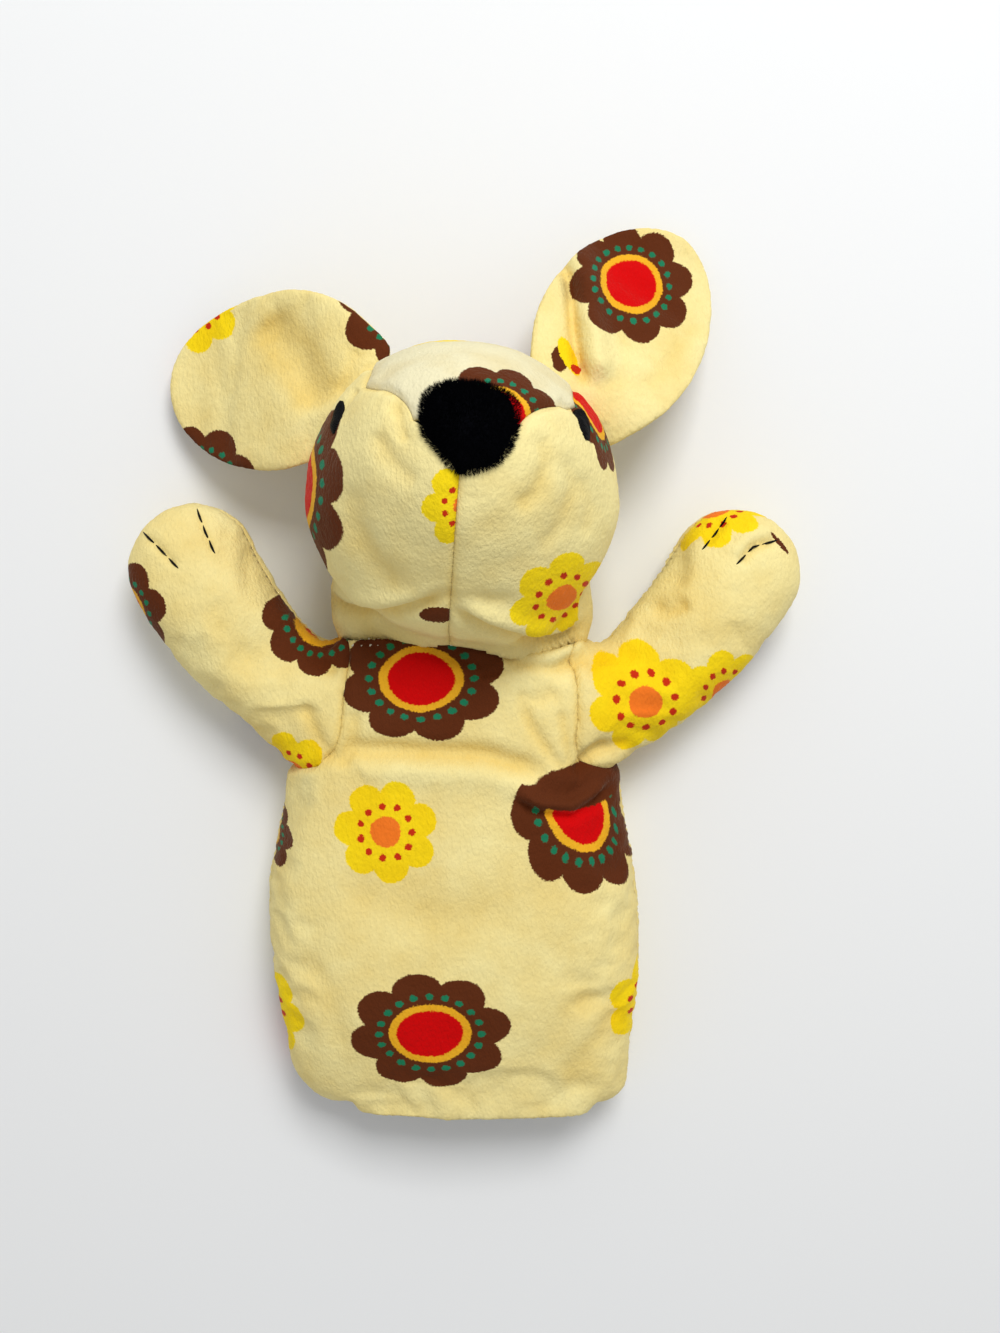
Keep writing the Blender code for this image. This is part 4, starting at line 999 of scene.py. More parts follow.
class Seam:
    """A line of stitches: how far a point is from it, and how far along it the point lies."""

    def __init__(self, lines):
        """Keeps the lines as dense points to search."""
        self.along = []
        places = []
        start = 0.0
        for line in lines:
            dense = resample(line, SEAM_STEP)
            steps = np.linalg.norm(np.diff(dense, axis=0), axis=1)
            marks = start + np.concatenate([[0], np.cumsum(steps)])
            start = marks[-1] + LINE_BREAK
            places += list(dense)
            self.along += list(marks)
        self.tree = kdtree.KDTree(len(places))
        for k, p in enumerate(places):
            self.tree.insert(p, k)
        self.tree.balance()

    def gaps(self, points):
        """The distance of each point from the stitches, and how far along them it lies."""
        found = [self.tree.find(p) for p in points]
        return np.array([f[2] for f in found]), np.array([self.along[f[1]] for f in found])


def sewn_in(gap, along, depth=1.0 * MM, width=1.3 * MM, pucker=0.45 * MM, pitch=6 * MM):
    """How a seam pulls the cloth in: a valley and the puckers beside it."""
    waves = np.array([noise.noise((a / pitch, 0.3, 0.7)) for a in along])
    beside = np.exp(-((gap - PUCKER_PLACE) / PUCKER_WIDTH) ** 2)
    return -depth * np.exp(-(gap / width) ** 2) + pucker * waves * beside


def lumpy(places, lumps):
    """The uneven height of stuffing or pile: noises, each with its size and height in millimetres."""
    return sum(height * MM * np.array([noise.noise(Vector(p) / (size * MM)) for p in places])
               for size, height in lumps)


# %% [markdown]
# A fold is a line drawn on the photograph. Cloth that faces the camera sinks along the line and may
# rise as a roll beside it. Every fold of the body, arms, head and ears is made with this one helper.


# %% Folds
FOLD_STEP = 6
FOLD_END = 0.18
FACING_GLOVE = 0.5


def fold(pixels, line, width, depth, roll=0.0, shift=0.0, roll_width=None):
    """Height along the normal: a valley on the line and a roll beside it, on its right going along."""
    gap, side, along = line_gap(pixels, resample(line, FOLD_STEP))
    fade = ease(along / FOLD_END) * ease((1 - along) / FOLD_END)
    signed = gap * side
    valley = depth * MM * np.exp(-(gap / width) ** 2)
    ridge = roll * MM * np.exp(-((signed - shift) / (roll_width or width)) ** 2)
    return fade * (ridge - valley)


BODY_FOLDS = [
    dict(line=[(330, 772), (352, 750), (416, 752), (485, 755), (528, 768), (560, 780)], width=11, depth=3.2,
         roll=1.4, shift=20, roll_width=14),
    dict(line=[(572, 779), (552, 757), (532, 728), (520, 700)], width=6, depth=1.5),
    dict(line=[(574, 778), (566, 742), (560, 706)], width=5, depth=1.2),
    dict(line=[(575, 780), (590, 755), (612, 742)], width=6, depth=1.6),
    dict(line=[(508, 796), (536, 812), (572, 816), (596, 800), (614, 782)], width=5, depth=2.8,
         roll=3.2, shift=-9, roll_width=8),
    dict(line=[(336, 772), (350, 744), (356, 706)], width=8, depth=1.4),
    dict(line=[(345, 640), (372, 650), (392, 668)], width=7, depth=1.2),
    dict(line=[(486, 646), (520, 664), (556, 668), (596, 650)], width=6, depth=2.0, roll=2.0, shift=-11,
         roll_width=8),
    dict(line=[(560, 690), (540, 700), (512, 696)], width=8, depth=1.0),
    dict(line=[(448, 684), (478, 676), (510, 670)], width=3, depth=0.9),
    dict(line=[(560, 1090), (600, 1040), (628, 1000)], width=14, depth=1.3),
    dict(line=[(520, 1085), (560, 1030), (600, 985)], width=16, depth=1.0),
    dict(line=[(330, 880), (420, 920), (520, 915)], width=24, depth=1.2),
    dict(line=[(300, 940), (330, 1000), (345, 1060)], width=12, depth=0.9),
]
LEFT_ARM_FOLDS = [
    dict(line=[(338, 768), (318, 742), (300, 700)], width=8, depth=1.6),
    dict(line=[(300, 640), (318, 662), (340, 672)], width=7, depth=1.5),
    dict(line=[(205, 600), (230, 640), (262, 668)], width=18, depth=0.9),
    dict(line=[(144, 533), (160, 550), (178, 568)], width=4, depth=1.1),
    dict(line=[(197, 510), (205, 530), (214, 553)], width=4, depth=1.1),
]
RIGHT_ARM_FOLDS = [
    dict(line=[(572, 774), (598, 750), (640, 744)], width=7, depth=2.0),
    dict(line=[(650, 604), (668, 612), (690, 602)], width=8, depth=1.8),
    dict(line=[(578, 668), (604, 656), (640, 652)], width=10, depth=1.2),
    dict(line=[(726, 519), (714, 534), (703, 549)], width=4, depth=1.2),
    dict(line=[(776, 540), (754, 546), (738, 564)], width=5, depth=2.2, roll=1.0, shift=9, roll_width=7),
]

pixels = seen_at(fine_bag)
normals = point_normals(fine_bag, fine_faces)
side_seam = Seam([bag[nearest_ids(glove_points, line)] for line in (left_line, right_line)])
front_ids = [nearest_ids(glove_points, line) for line in armholes.values()]
arm_seam = Seam([bag[ids] for ids in front_ids] + [bag[back_row[ids]] for ids in front_ids])
neck_ids = nearest_ids(glove_points, neck_line)
neck_seam = Seam([bag[neck_ids], bag[back_row[neck_ids]]])
NECK_VALLEY = {"depth": 0.5 * MM, "width": 1.6 * MM}
GLOVE_LUMPS = [(30, 0.9), (11, 0.35)]
change = sewn_in(*side_seam.gaps(fine_bag)) + sewn_in(*arm_seam.gaps(fine_bag), depth=1.3 * MM)
neck_gap, neck_along = neck_seam.gaps(fine_bag)
change += sewn_in(neck_gap, neck_along, **NECK_VALLEY)
change += lumpy(fine_bag, GLOVE_LUMPS)
facing = ease(normals[:, 2] / FACING_GLOVE)
for spec in BODY_FOLDS + LEFT_ARM_FOLDS + RIGHT_ARM_FOLDS:
    change += facing * fold(pixels, **spec)
change += lumpy(fine_bag, TUFTS)
sculpted = hem_in(fine_bag, normals * change[:, None], neck_gap, NECK_OVERLAP)
sculpted[:, 2] = np.maximum(sculpted[:, 2], 0.0)
print("glove folds", len(BODY_FOLDS) + len(LEFT_ARM_FOLDS) + len(RIGHT_ARM_FOLDS))


# %% [markdown]
# The skin is now cut into its panels. Each one gets the thickness of its cloth on the inside, and the
# inner face shows the knitted back.


# %% Panels of the glove
HOLLOW_SHADE_DEPTH = 2.2 * MM


def hollow_shade_of(change):
    """How much painted shade a point gets: 1 where the cloth sinks far and its cream is painted darker, -1
    on a high roll, painted paler as light.
    """
    return np.clip(-change / HOLLOW_SHADE_DEPTH, -1, 1)


def panel_from(name, places, faces, thickness, hollow_shade):
    """A piece of cloth from some faces of a skin, thickened inwards."""
    used = sorted({k for f in faces for k in f})
    row = {k: i for i, k in enumerate(used)}
    piece = mesh_object(name, places[used], [[row[k] for k in f] for f in faces])
    # Each point keeps how much painted shade its cream gets in the folds.
    piece.data.attributes.new("hollow_shade", "FLOAT", "POINT").data.foreach_set("value", hollow_shade[used])
    thick = piece.modifiers.new("thickness", "SOLIDIFY")
    thick.thickness = thickness
    thick.offset = -1
    thick.material_offset = 1
    thick.use_quality_normals = False
    return piece


# Each panel gets its painted shade from how far its cloth sinks.
glove = {}
for tag in range(2 * len(PANELS)):
    name = PANELS[tag % len(PANELS)] + ("_front" if tag < len(PANELS) else "_back")
    faces = [f for f, t in zip(fine_faces, fine_tags) if t == tag]
    glove[name] = panel_from(name + "_cloth", sculpted, faces, CLOTH, hollow_shade_of(change))
    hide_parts(name)
    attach(glove[name], "root")
print({name: len(piece.data.polygons) for name, piece in glove.items()})

# %% [markdown]
# The head is a stuffed ball with a muzzle and a neck. Its skin is where three soft lobes run together,
# found along rays from the middle of the head. Angles round the head and out to its sides name every
# place on it, so the seams are lines of such angles.

# %% Head sizes
HEAD_WIDTH = 94 * MM
HEAD_HEIGHT = 90 * MM
HEAD_DEPTH = 88 * MM
HEAD_MIDDLE = NECK_SEAM + np.array([1.3, 47.5, 44.8]) * MM
HEAD_TURN = math.radians(-5.5)
MUZZLE_WIDTH = 58 * MM
MUZZLE_HEIGHT = 55 * MM
MUZZLE_REACH = 57 * MM
MUZZLE_TILT = math.radians(19)
LOBE_CREASE = 6.0
BODY_HEIGHT = SIDE_SEAM_HEIGHT + FRONT_RISE
GUSSET_START = math.radians(19)
GUSSET_END = math.radians(238)
GUSSET_NOSE = math.radians(14)
GUSSET_BROW = math.radians(41)
GUSSET_NAPE = math.radians(20)
SEAM_TURN = math.radians(10)
HEAD_PUFF = 1.0 * MM
NECK_LOBE_UP = 8 * MM
NECK_LOBE_LENGTH = 56 * MM
NECK_LOBE_OVER = 0.8 * MM
NECK_LOBE_UNDER = 0.6 * MM
SKIN_REACH = (10 * MM, 95 * MM)
SKIN_HALVINGS = 26
SLOPE_STEP = 0.2 * MM
BROW_START, BROW_RUN = 16, 38
NAPE_START, NAPE_RUN = 120, 100
FULL = 2 * math.pi
print("head", HEAD_WIDTH / MM, "by", HEAD_HEIGHT / MM, "by", HEAD_DEPTH / MM, "mm")


# %% Head skin
def turned(vectors, angle=HEAD_TURN):
    """Vectors turned about the upright axis, as the head is turned to one side."""
    cos, sin = math.cos(angle), math.sin(angle)
    x, y, z = vectors[..., 0], vectors[..., 1], vectors[..., 2]
    return np.stack([cos * x - sin * y, sin * x + cos * y, z], axis=-1)


nose_way = np.array([0, math.sin(MUZZLE_TILT), math.cos(MUZZLE_TILT)])
neck_lobe = NECK_SEAM + np.array([0, NECK_LOBE_UP, BODY_HEIGHT / 2]) - HEAD_MIDDLE
neck_radii = np.array([NECK_WIDTH / 2 + NECK_LOBE_OVER, NECK_LOBE_LENGTH / 2,
                       BODY_HEIGHT / 2 - NECK_LOBE_UNDER])
LOBES = [
    (np.zeros(3), np.array([HEAD_WIDTH, HEAD_HEIGHT, HEAD_DEPTH]) / 2),
    (nose_way * (MUZZLE_REACH - MUZZLE_WIDTH / 2),
     np.array([MUZZLE_WIDTH, MUZZLE_HEIGHT, MUZZLE_WIDTH]) / 2),
    (turned(neck_lobe, -HEAD_TURN), neck_radii),
]


def head_field(places):
    """0 on the head's skin, positive inside."""
    total = 0
    for middle, radii in LOBES:
        total = total + np.exp(-LOBE_CREASE * (np.linalg.norm((places - middle) / radii, axis=-1) - 1))
    return np.log(total) / LOBE_CREASE


def skin_along(starts, way, reach):
    """Places and normals where lines from inside the head meet its skin, found by halving."""
    low, high = (np.full(starts.shape[:-1], limit) for limit in reach)
    for _ in range(SKIN_HALVINGS):
        middle = (low + high) / 2
        outside = head_field(starts + way * middle[..., None]) < 0
        high = np.where(outside, middle, high)
        low = np.where(outside, low, middle)
    places = starts + way * high[..., None]
    slope = np.stack([head_field(places + SLOPE_STEP * axis) - head_field(places - SLOPE_STEP * axis)
                      for axis in np.eye(3)], axis=-1)
    return places, -slope / np.linalg.norm(slope, axis=-1, keepdims=True)


def head_skin(ts, sides):
    """Places and normals on the head for angles round it (front, crown, back) and out to its sides."""
    ts, sides = np.broadcast_arrays(np.asarray(ts, float), np.asarray(sides, float))
    way = np.stack([np.sin(sides), np.cos(sides) * np.sin(ts), np.cos(sides) * np.cos(ts)], axis=-1)
    places, normals = skin_along(0 * way, way, SKIN_REACH)
    return turned(places) + HEAD_MIDDLE, turned(normals)


def gusset_half(t):
    """Half the gusset's width as an angle, from the nose over the crown to the nape."""
    degrees = np.degrees(t)
    widening = GUSSET_NOSE + (GUSSET_BROW - GUSSET_NOSE) * ease((degrees - BROW_START) / BROW_RUN)
    return widening - (GUSSET_BROW - GUSSET_NAPE) * ease((degrees - NAPE_START) / NAPE_RUN)


print("crown at", head_skin(math.pi / 2, 0.0)[0].round(4))

# %% [markdown]
# Two cheeks meet in a seam under the chin, and the gusset runs between them from the nose over the
# crown to the nape. Beside each eye a short dart takes in the corner of the gusset.

# %% Head seams and folds
gusset_ts = np.linspace(GUSSET_START, GUSSET_END, 150)
gusset_edges = [head_skin(gusset_ts, sign * gusset_half(gusset_ts))[0] for sign in (-1, 1)]
chin_ts = np.linspace(GUSSET_END + SEAM_TURN, GUSSET_START + FULL - SEAM_TURN, 90)
chin_line = head_skin(chin_ts, chin_ts * 0)[0]
head_seam = Seam(gusset_edges + [chin_line])
DART_DEPTH = 0.9 * MM
DART_WIDTH = 3.2
DART_END = 0.3
DARTS = [[(562, 403), (581, 421), (587, 439), (591, 457)], [(357, 393), (345, 410), (334, 427)]]
HEAD_FOLDS = [
    dict(line=[(392, 398), (402, 420), (404, 446)], width=7, depth=1.5),
    dict(line=[(376, 430), (392, 462), (420, 486)], width=9, depth=1.2),
    dict(line=[(536, 430), (548, 462), (536, 492), (512, 512)], width=9, depth=1.6),
    dict(line=[(560, 450), (572, 488), (560, 524), (536, 552)], width=8, depth=1.1),
    dict(line=[(578, 470), (588, 506), (584, 540)], width=6, depth=0.8),
    dict(line=[(352, 480), (356, 524), (376, 566), (410, 590)], width=12, depth=1.3),
    dict(line=[(520, 596), (490, 600), (452, 598), (400, 590)], width=8, depth=1.4),
    dict(line=[(594, 622), (560, 638), (524, 638), (486, 624), (446, 606)], width=6, depth=3.2,
         roll=2.6, shift=12, roll_width=8),
    dict(line=[(322, 592), (346, 608), (384, 612), (420, 606), (446, 600)], width=6, depth=2.8,
         roll=2.0, shift=-12, roll_width=8),
]
print("head folds", len(HEAD_FOLDS), "and darts", len(DARTS))


# %% Sculpt the head
HEAD_LUMPS = [(26, 1.1), (10, 0.45)]
FACING_HEAD = 0.35


def sculpt_head(places, normals):
    """The head's skin with its seams, darts, folds and pile."""
    places, normals = places.reshape(-1, 3), normals.reshape(-1, 3)
    glove_side = places[:, 1] < NECK_SEAM[1]
    places = places.copy()
    places[:, 1] = np.maximum(places[:, 1], NECK_SEAM[1])
    places = bend_neck(places)
    pixels = seen_at(places)
    facing = ease(normals[:, 2] / FACING_HEAD)
    change = sewn_in(*head_seam.gaps(places), depth=1.1 * MM, pucker=0.5 * MM)
    neck_gap, neck_along = neck_seam.gaps(places)
    change += sewn_in(neck_gap, neck_along, **NECK_VALLEY)
    for line in DARTS:
        gap, _, along = line_gap(pixels, resample(line, 4))
        change -= facing * DART_DEPTH * np.exp(-(gap / DART_WIDTH) ** 2) * ease((1 - along) / DART_END)
    for spec in HEAD_FOLDS:
        change += facing * fold(pixels, **spec)
    change += lumpy(places, HEAD_LUMPS + TUFTS)
    change += HEAD_PUFF * ease(neck_gap / NECK_BEND_FADE)
    sculpted = hem_in(places, normals * change[:, None], neck_gap, -NECK_OVERLAP)
    sculpted[:, 2] = np.maximum(sculpted[:, 2], 0.0)
    return sculpted, glove_side, change


def grid_faces(rows, wide, closed=False):
    """Faces of a grid of points, whose last row may be joined to the first."""
    last = rows if closed else rows - 1
    return [(i * wide + j, i * wide + j + 1, (i + 1) % rows * wide + j + 1, (i + 1) % rows * wide + j)
            for i in range(last) for j in range(wide - 1)]


def ring_faces(rings, around):
    """Faces between rings of points, each ring closed."""
    return [(i * around + j, i * around + (j + 1) % around, (i + 1) * around + (j + 1) % around,
             (i + 1) * around + j) for i in range(rings - 1) for j in range(around)]


# %% [markdown]
# The nose is a patch of long black pile, set into a hole between the gusset and the cheeks. Its
# outline is round above, cut straight at the lower left, and comes to a point at the chin seam.

# %% Nose outline
NOSE_SHAPE = [(14.8, 4.4), (14.0, 8.0), (11.6, 10.6), (7.6, 12.0), (1.0, 12.4), (-4.8, 12.2), (-9.4, 10.4),
              (-12.1, 7.6), (-12.6, 3.0), (-12.2, -1.6), (-11.0, -5.2), (-6.2, -10.4), (-2.4, -14.0),
              (0.2, -15.0), (3.0, -14.6), (7.0, -12.9), (10.4, -10.7), (13.2, -6.7), (14.7, -1.0)]
NOSE_STEP = 1.2 * MM
NOSE_COVER = 1.6 * MM
nose_middle = np.array([0.6, -0.9]) * MM
nose_up = np.array([0, math.cos(MUZZLE_TILT), -math.sin(MUZZLE_TILT)])


def nose_outline(grow):
    """The nose's outline over the muzzle's end, let out by grow."""
    shape = np.array(NOSE_SHAPE) * MM
    dense = resample(np.vstack([shape, shape[:1]]), NOSE_STEP)[:-1]
    smooth = (np.roll(dense, 1, axis=0) + 2 * dense + np.roll(dense, -1, axis=0)) / 4
    out = smooth - nose_middle
    return smooth + out / np.linalg.norm(out, axis=1)[:, None] * grow


def on_nose(places):
    """Across and up over the muzzle's end, for places on the head."""
    local = turned(places - HEAD_MIDDLE, -HEAD_TURN)
    return np.stack([local[..., 0], local @ nose_up], axis=-1)


def off_nose(places, faces):
    """The faces that lie outside the nose patch."""
    flat = on_nose(places)
    front = (turned(places - HEAD_MIDDLE, -HEAD_TURN) @ nose_way) > 0
    covered = inside(flat, nose_outline(-NOSE_COVER)) & front
    return [f for f in faces if not all(covered[k] for k in f)]


print("nose outline", len(nose_outline(0)), "points")

# %% Cheeks and gusset
EDGE_GAP = 0.02 * MM
CROWDING = 1.15
BELOW_CHIN = math.pi * 1.6
steps_out = 56
cheek_ts = np.concatenate([
    np.linspace(GUSSET_START, GUSSET_END, 170),
    np.linspace(GUSSET_END, GUSSET_END + SEAM_TURN, 9)[1:],
    np.linspace(GUSSET_END + SEAM_TURN, GUSSET_START + FULL - SEAM_TURN, 100)[1:],
    np.linspace(GUSSET_START + FULL - SEAM_TURN, GUSSET_START + FULL, 9)[1:-1],
])
spread = np.linspace(0, 1, steps_out + 1)[:-1] ** CROWDING


def cheek_start(t):
    """The angle out to the side at which a cheek begins."""
    beyond = max(t - GUSSET_END, 0) if t < BELOW_CHIN else GUSSET_START + FULL - t
    share = 1 - min(beyond / SEAM_TURN, 1)
    edge_t = GUSSET_START if t > BELOW_CHIN else min(t, GUSSET_END)
    return share * gusset_half(edge_t) + EDGE_GAP / HEAD_WIDTH * 2


head = {}
for side, sign in SIDES.items():
    starts = np.array([cheek_start(t) for t in cheek_ts])
    sides = sign * (starts[:, None] + (math.pi / 2 - starts[:, None]) * spread[None, :])
    cheek_skin = head_skin(cheek_ts[:, None], sides)
    pole = head_skin(0.0, sign * math.pi / 2)
    points, glove_side, change = sculpt_head(*(np.vstack([a.reshape(-1, 3), b[None]])
                                               for a, b in zip(cheek_skin, pole)))
    faces = grid_faces(len(cheek_ts), steps_out, closed=True)
    faces += [(i * steps_out + steps_out - 1, len(points) - 1, (i + 1) % len(cheek_ts) * steps_out
               + steps_out - 1) for i in range(len(cheek_ts))]
    faces = off_nose(points, faces)
    faces = [f for f in faces if not all(glove_side[k] for k in f)]
    if sign < 0:
        faces = [f[::-1] for f in faces]
    head["head_" + side] = panel_from("head_%s_cloth" % side, points, faces, CLOTH, hollow_shade_of(change))

wide = 61
sides = np.linspace(-1, 1, wide)[None, :] * (gusset_half(gusset_ts)[:, None] - EDGE_GAP / HEAD_WIDTH * 2)
points, glove_side, change = sculpt_head(*head_skin(gusset_ts[:, None], sides))
faces = off_nose(points, grid_faces(len(gusset_ts), wide))
faces = [f for f in faces if not all(glove_side[k] for k in f)]
head["head_gusset"] = panel_from("head_gusset_cloth", points, faces, CLOTH, hollow_shade_of(change))
for name, piece in head.items():
    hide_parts(name)
    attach(piece, "root")
print({name: len(piece.data.polygons) for name, piece in head.items()})

# %% [markdown]
# Real pile would be millions of hairs. The nose is small and its ragged edge shows in the photograph,
# so here the hairs are made one by one, as thin spikes that lean outwards from the middle. A soft
# black cushion under them closes the gaps.

# %% Nose cushion
rings, around = 12, 64
INNER_RING = 0.08
MUZZLE_SEARCH = (MUZZLE_REACH * 0.4, MUZZLE_REACH * 1.4)
CUSHION_PUFF = 1.3 * MM
CUSHION_TUCK = 1.2 * MM
outline = resample(np.vstack([nose_outline(0), nose_outline(0)[:1]]), 0.4 * MM)
outline = outline[np.linspace(0, len(outline) - 1, around + 1).astype(int)[:-1]]
flat = np.vstack([nose_middle + (outline - nose_middle) * r for r in np.linspace(1, INNER_RING, rings)]
                 + [nose_middle[None]])


def on_muzzle(flat):
    """Places and normals on the muzzle's end under flat nose coordinates."""
    base = flat[:, :1] * np.array([1, 0, 0]) + flat[:, 1:] * nose_up
    places, normals = skin_along(base, nose_way, MUZZLE_SEARCH)
    return turned(places + normals * HEAD_PUFF) + HEAD_MIDDLE, turned(normals)


places, normals = on_muzzle(flat)
share = np.concatenate([np.repeat(np.linspace(1, INNER_RING, rings), around), [0]])
bulge = CUSHION_PUFF * np.sqrt(np.clip(1 - share ** 2, 0, 1)) - CUSHION_TUCK * share ** 8
places = places + normals * bulge[:, None]
faces = ring_faces(rings, around)
faces += [((rings - 1) * around + j, (rings - 1) * around + (j + 1) % around, rings * around)
          for j in range(around)]
nose = panel_from("nose_cloth", places, faces, CLOTH, 0 * bulge)
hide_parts("nose")
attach(nose, "root")
black_pile = plush_finish("black_pile", (0.0016, 0.0018, 0.0030, 1))
black_shader = black_pile.node_tree.nodes["Principled BSDF"]
black_shader.inputs["Sheen Weight"].default_value = 0.0
black_shader.inputs["Specular IOR Level"].default_value = 0.02
nose.data.materials.append(black_pile)
nose.data.materials.append(knit_back)
print("nose cushion", len(places), "points")

# %% Nose hairs
HAIRS = 12000
HAIR_LENGTH = 1.9 * MM
HAIR_WIDTH = 0.20 * MM
HAIR_MARGIN = 0.7 * MM
HAIR_BED = (1.2 * MM, 0.3 * MM)
dice = np.random.default_rng(7)
edge = nose_outline(-HAIR_MARGIN)
nose_half = np.abs(edge - nose_middle).max(axis=0)
tries = dice.uniform(-1, 1, (HAIRS * 2, 2)) * nose_half + nose_middle
roots = tries[inside(tries, edge)][:HAIRS]
places, normals = on_muzzle(roots)
roots = roots - nose_middle
share = np.linalg.norm(roots / nose_half, axis=1)
places += normals * (HAIR_BED[0] * np.sqrt(np.clip(1 - share ** 2, 0, 1)) - HAIR_BED[1])[:, None]
outward = turned(roots[:, :1] * np.array([1, 0, 0]) + roots[:, 1:] * nose_up)
outward /= np.maximum(np.linalg.norm(outward, axis=1), 1e-9)[:, None]
lean = 0.3 + 0.5 * share[:, None] ** 2 + dice.normal(0, 0.12, (len(roots), 1))
way = normals + outward * lean + dice.normal(0, 0.20, (len(roots), 3))
way /= np.linalg.norm(way, axis=1)[:, None]
tips = places + way * HAIR_LENGTH * dice.uniform(0.7, 1.1, (len(roots), 1))
side_a = np.cross(way, [0.3, 0.5, 0.8])
side_a /= np.linalg.norm(side_a, axis=1)[:, None]
side_b = np.cross(way, side_a)
corners = [places + HAIR_WIDTH / 2 * (math.cos(a) * side_a + math.sin(a) * side_b)
           for a in (0, FULL / 3, FULL * 2 / 3)]
points = np.stack(corners + [tips], axis=1).reshape(-1, 3)
starts = np.arange(len(roots)) * 4
SPIKE_FACES = ((0, 1, 3), (1, 2, 3), (2, 0, 3), (2, 1, 0))
faces = np.concatenate([starts[:, None] + np.array(f) for f in SPIKE_FACES])
nose_hairs = mesh_object("nose_pile", points, faces, smooth=False)
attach(nose_hairs, "root")
nose_hairs.data.materials.append(black_pile)
print("nose hairs", len(roots))

# %% [markdown]
# The eyes are satin stitch: threads laid side by side across an oval, over a little padding. Every
# thread is its own thin tube that dives into the plush at both ends.

# %% Tubes
EYE_LENGTH = 12.5 * MM
EYE_WIDTH = {"left": 4.8 * MM, "right": 7.6 * MM}
EYE_T = math.radians(40)
EYE_SIDE = {"left": math.radians(53.0), "right": math.radians(43.0)}
TUBE_GUIDE = np.array([0.31, 0.22, 0.92])


def tube(route, radii, around=7):
    """Points and faces of a tube along a route, with closed ends."""
    route = np.asarray(route)
    run = np.gradient(route, axis=0)
    run /= np.linalg.norm(run, axis=1)[:, None]
    first = np.cross(run, TUBE_GUIDE)
    first /= np.linalg.norm(first, axis=1)[:, None]
    second = np.cross(run, first)
    turns = np.linspace(0, FULL, around, endpoint=False)
    rings = [route[k] + radii[k] * (np.cos(turns)[:, None] * first[k] + np.sin(turns)[:, None] * second[k])
             for k in range(len(route))]
    count = len(route)
    faces = ring_faces(count, around)
    faces.append(tuple(range(around))[::-1])
    faces.append(tuple((count - 1) * around + j for j in range(around)))
    return np.vstack(rings), faces


def bundle(name, routes, radii):
    """One piece from many tubes."""
    points, faces = [], []
    start = 0
    for route, radius in zip(routes, radii):
        tube_points, tube_faces = tube(route, radius)
        points.append(tube_points)
        faces += [tuple(k + start for k in f) for f in tube_faces]
        start += len(tube_points)
    piece = mesh_object(name, np.vstack(points), faces)
    piece.data.materials.append(black_thread)
    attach(piece, "root")
    return piece


# %% Eyes
def eye_seat(side):
    """The place and axes of an eye on the sculpted cheek: along it, across it and out."""
    sign = SIDES[side]
    place, out = head_skin(EYE_T, sign * EYE_SIDE[side])
    ahead, _ = head_skin(EYE_T + 0.05, sign * EYE_SIDE[side])
    along = ahead - place
    along -= (along @ out) * out
    along /= np.linalg.norm(along)
    return place, along, np.cross(out, along), out


EYE_STITCHES = 26
EYE_PUFF = 1.1 * MM
EYE_SINK = 0.25 * MM
EYE_THREAD = 0.66 * MM
for side in SIDES:
    tree = surface_of(head["head_" + side])
    place, along, across, out = eye_seat(side)
    routes, radii = [], []
    for k in np.linspace(-1, 1, EYE_STITCHES):
        half = EYE_WIDTH[side] / 2 * math.sqrt(max(1 - k * k, 0.02))
        route = []
        for s in np.linspace(-1, 1, 9):
            spot = place + along * k * EYE_LENGTH / 2 + across * s * half
            puff = EYE_PUFF * (1 - 0.6 * k * k) * math.sqrt(max(1 - s * s, 0)) - EYE_SINK
            hit, _, _, _ = tree.find_nearest(Vector(spot))
            route.append(np.array(hit) + out * puff)
        routes.append(route)
        radii.append([EYE_THREAD / 2] * len(route))
    eye = bundle(side + "_eye_stitches", routes, radii)
    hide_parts(side + "_eye")
print("eye stitches", EYE_STITCHES)

# %% [markdown]
# The toes are drawn with three long back stitches each. The thread comes up, lies on the pile and
# goes down again, so each stitch is a low bow, and the cloth is pinched a little under it.

# %% Toe stitches
TOE_LINES = {
    "left_toe_stitch_outer": [(143, 532), (161, 550), (179, 569)],
    "left_toe_stitch_inner": [(197, 509), (205, 531), (215, 554)],
    "right_toe_stitch_inner": [(727, 517), (715, 534), (702, 550)],
    "right_toe_stitch_outer": [(778, 540), (753, 547), (736, 565)],
}
THREAD = 0.8 * MM
STITCHES_PER_TOE = 3
STITCH_BOW = 0.75
STITCH_SINK = 0.35
for name, line in TOE_LINES.items():
    tree = surface_of(glove[name.split("_")[0] + "_arm_front"])
    hits = [tree.ray_cast(Vector(eye_place), Vector(sight(pixel)))[0] for pixel in resample(line, 1.0)]
    seats = np.array([tuple(hit) for hit in hits if hit is not None])
    routes, radii = [], []
    for part in np.array_split(seats, STITCHES_PER_TOE):
        bow = np.sin(np.linspace(0, math.pi, len(part)))
        height = (STITCH_BOW * bow - STITCH_SINK) * THREAD
        routes.append(part + height[:, None] * np.array(FACE_UP))
        radii.append(THREAD / 2 * (0.45 + 0.5 * bow))
    stitch = bundle(name + "_thread", routes, radii)
    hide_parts(name)
print("toe stitches", len(TOE_LINES))

# %% [markdown]
# An ear is two layers of the same plush, sewn round the edge and turned. It is caught in the seam
# between cheek and gusset and droops from there to the floor. The right one is rolled over along its
# inner side, the left one has a soft hollow.

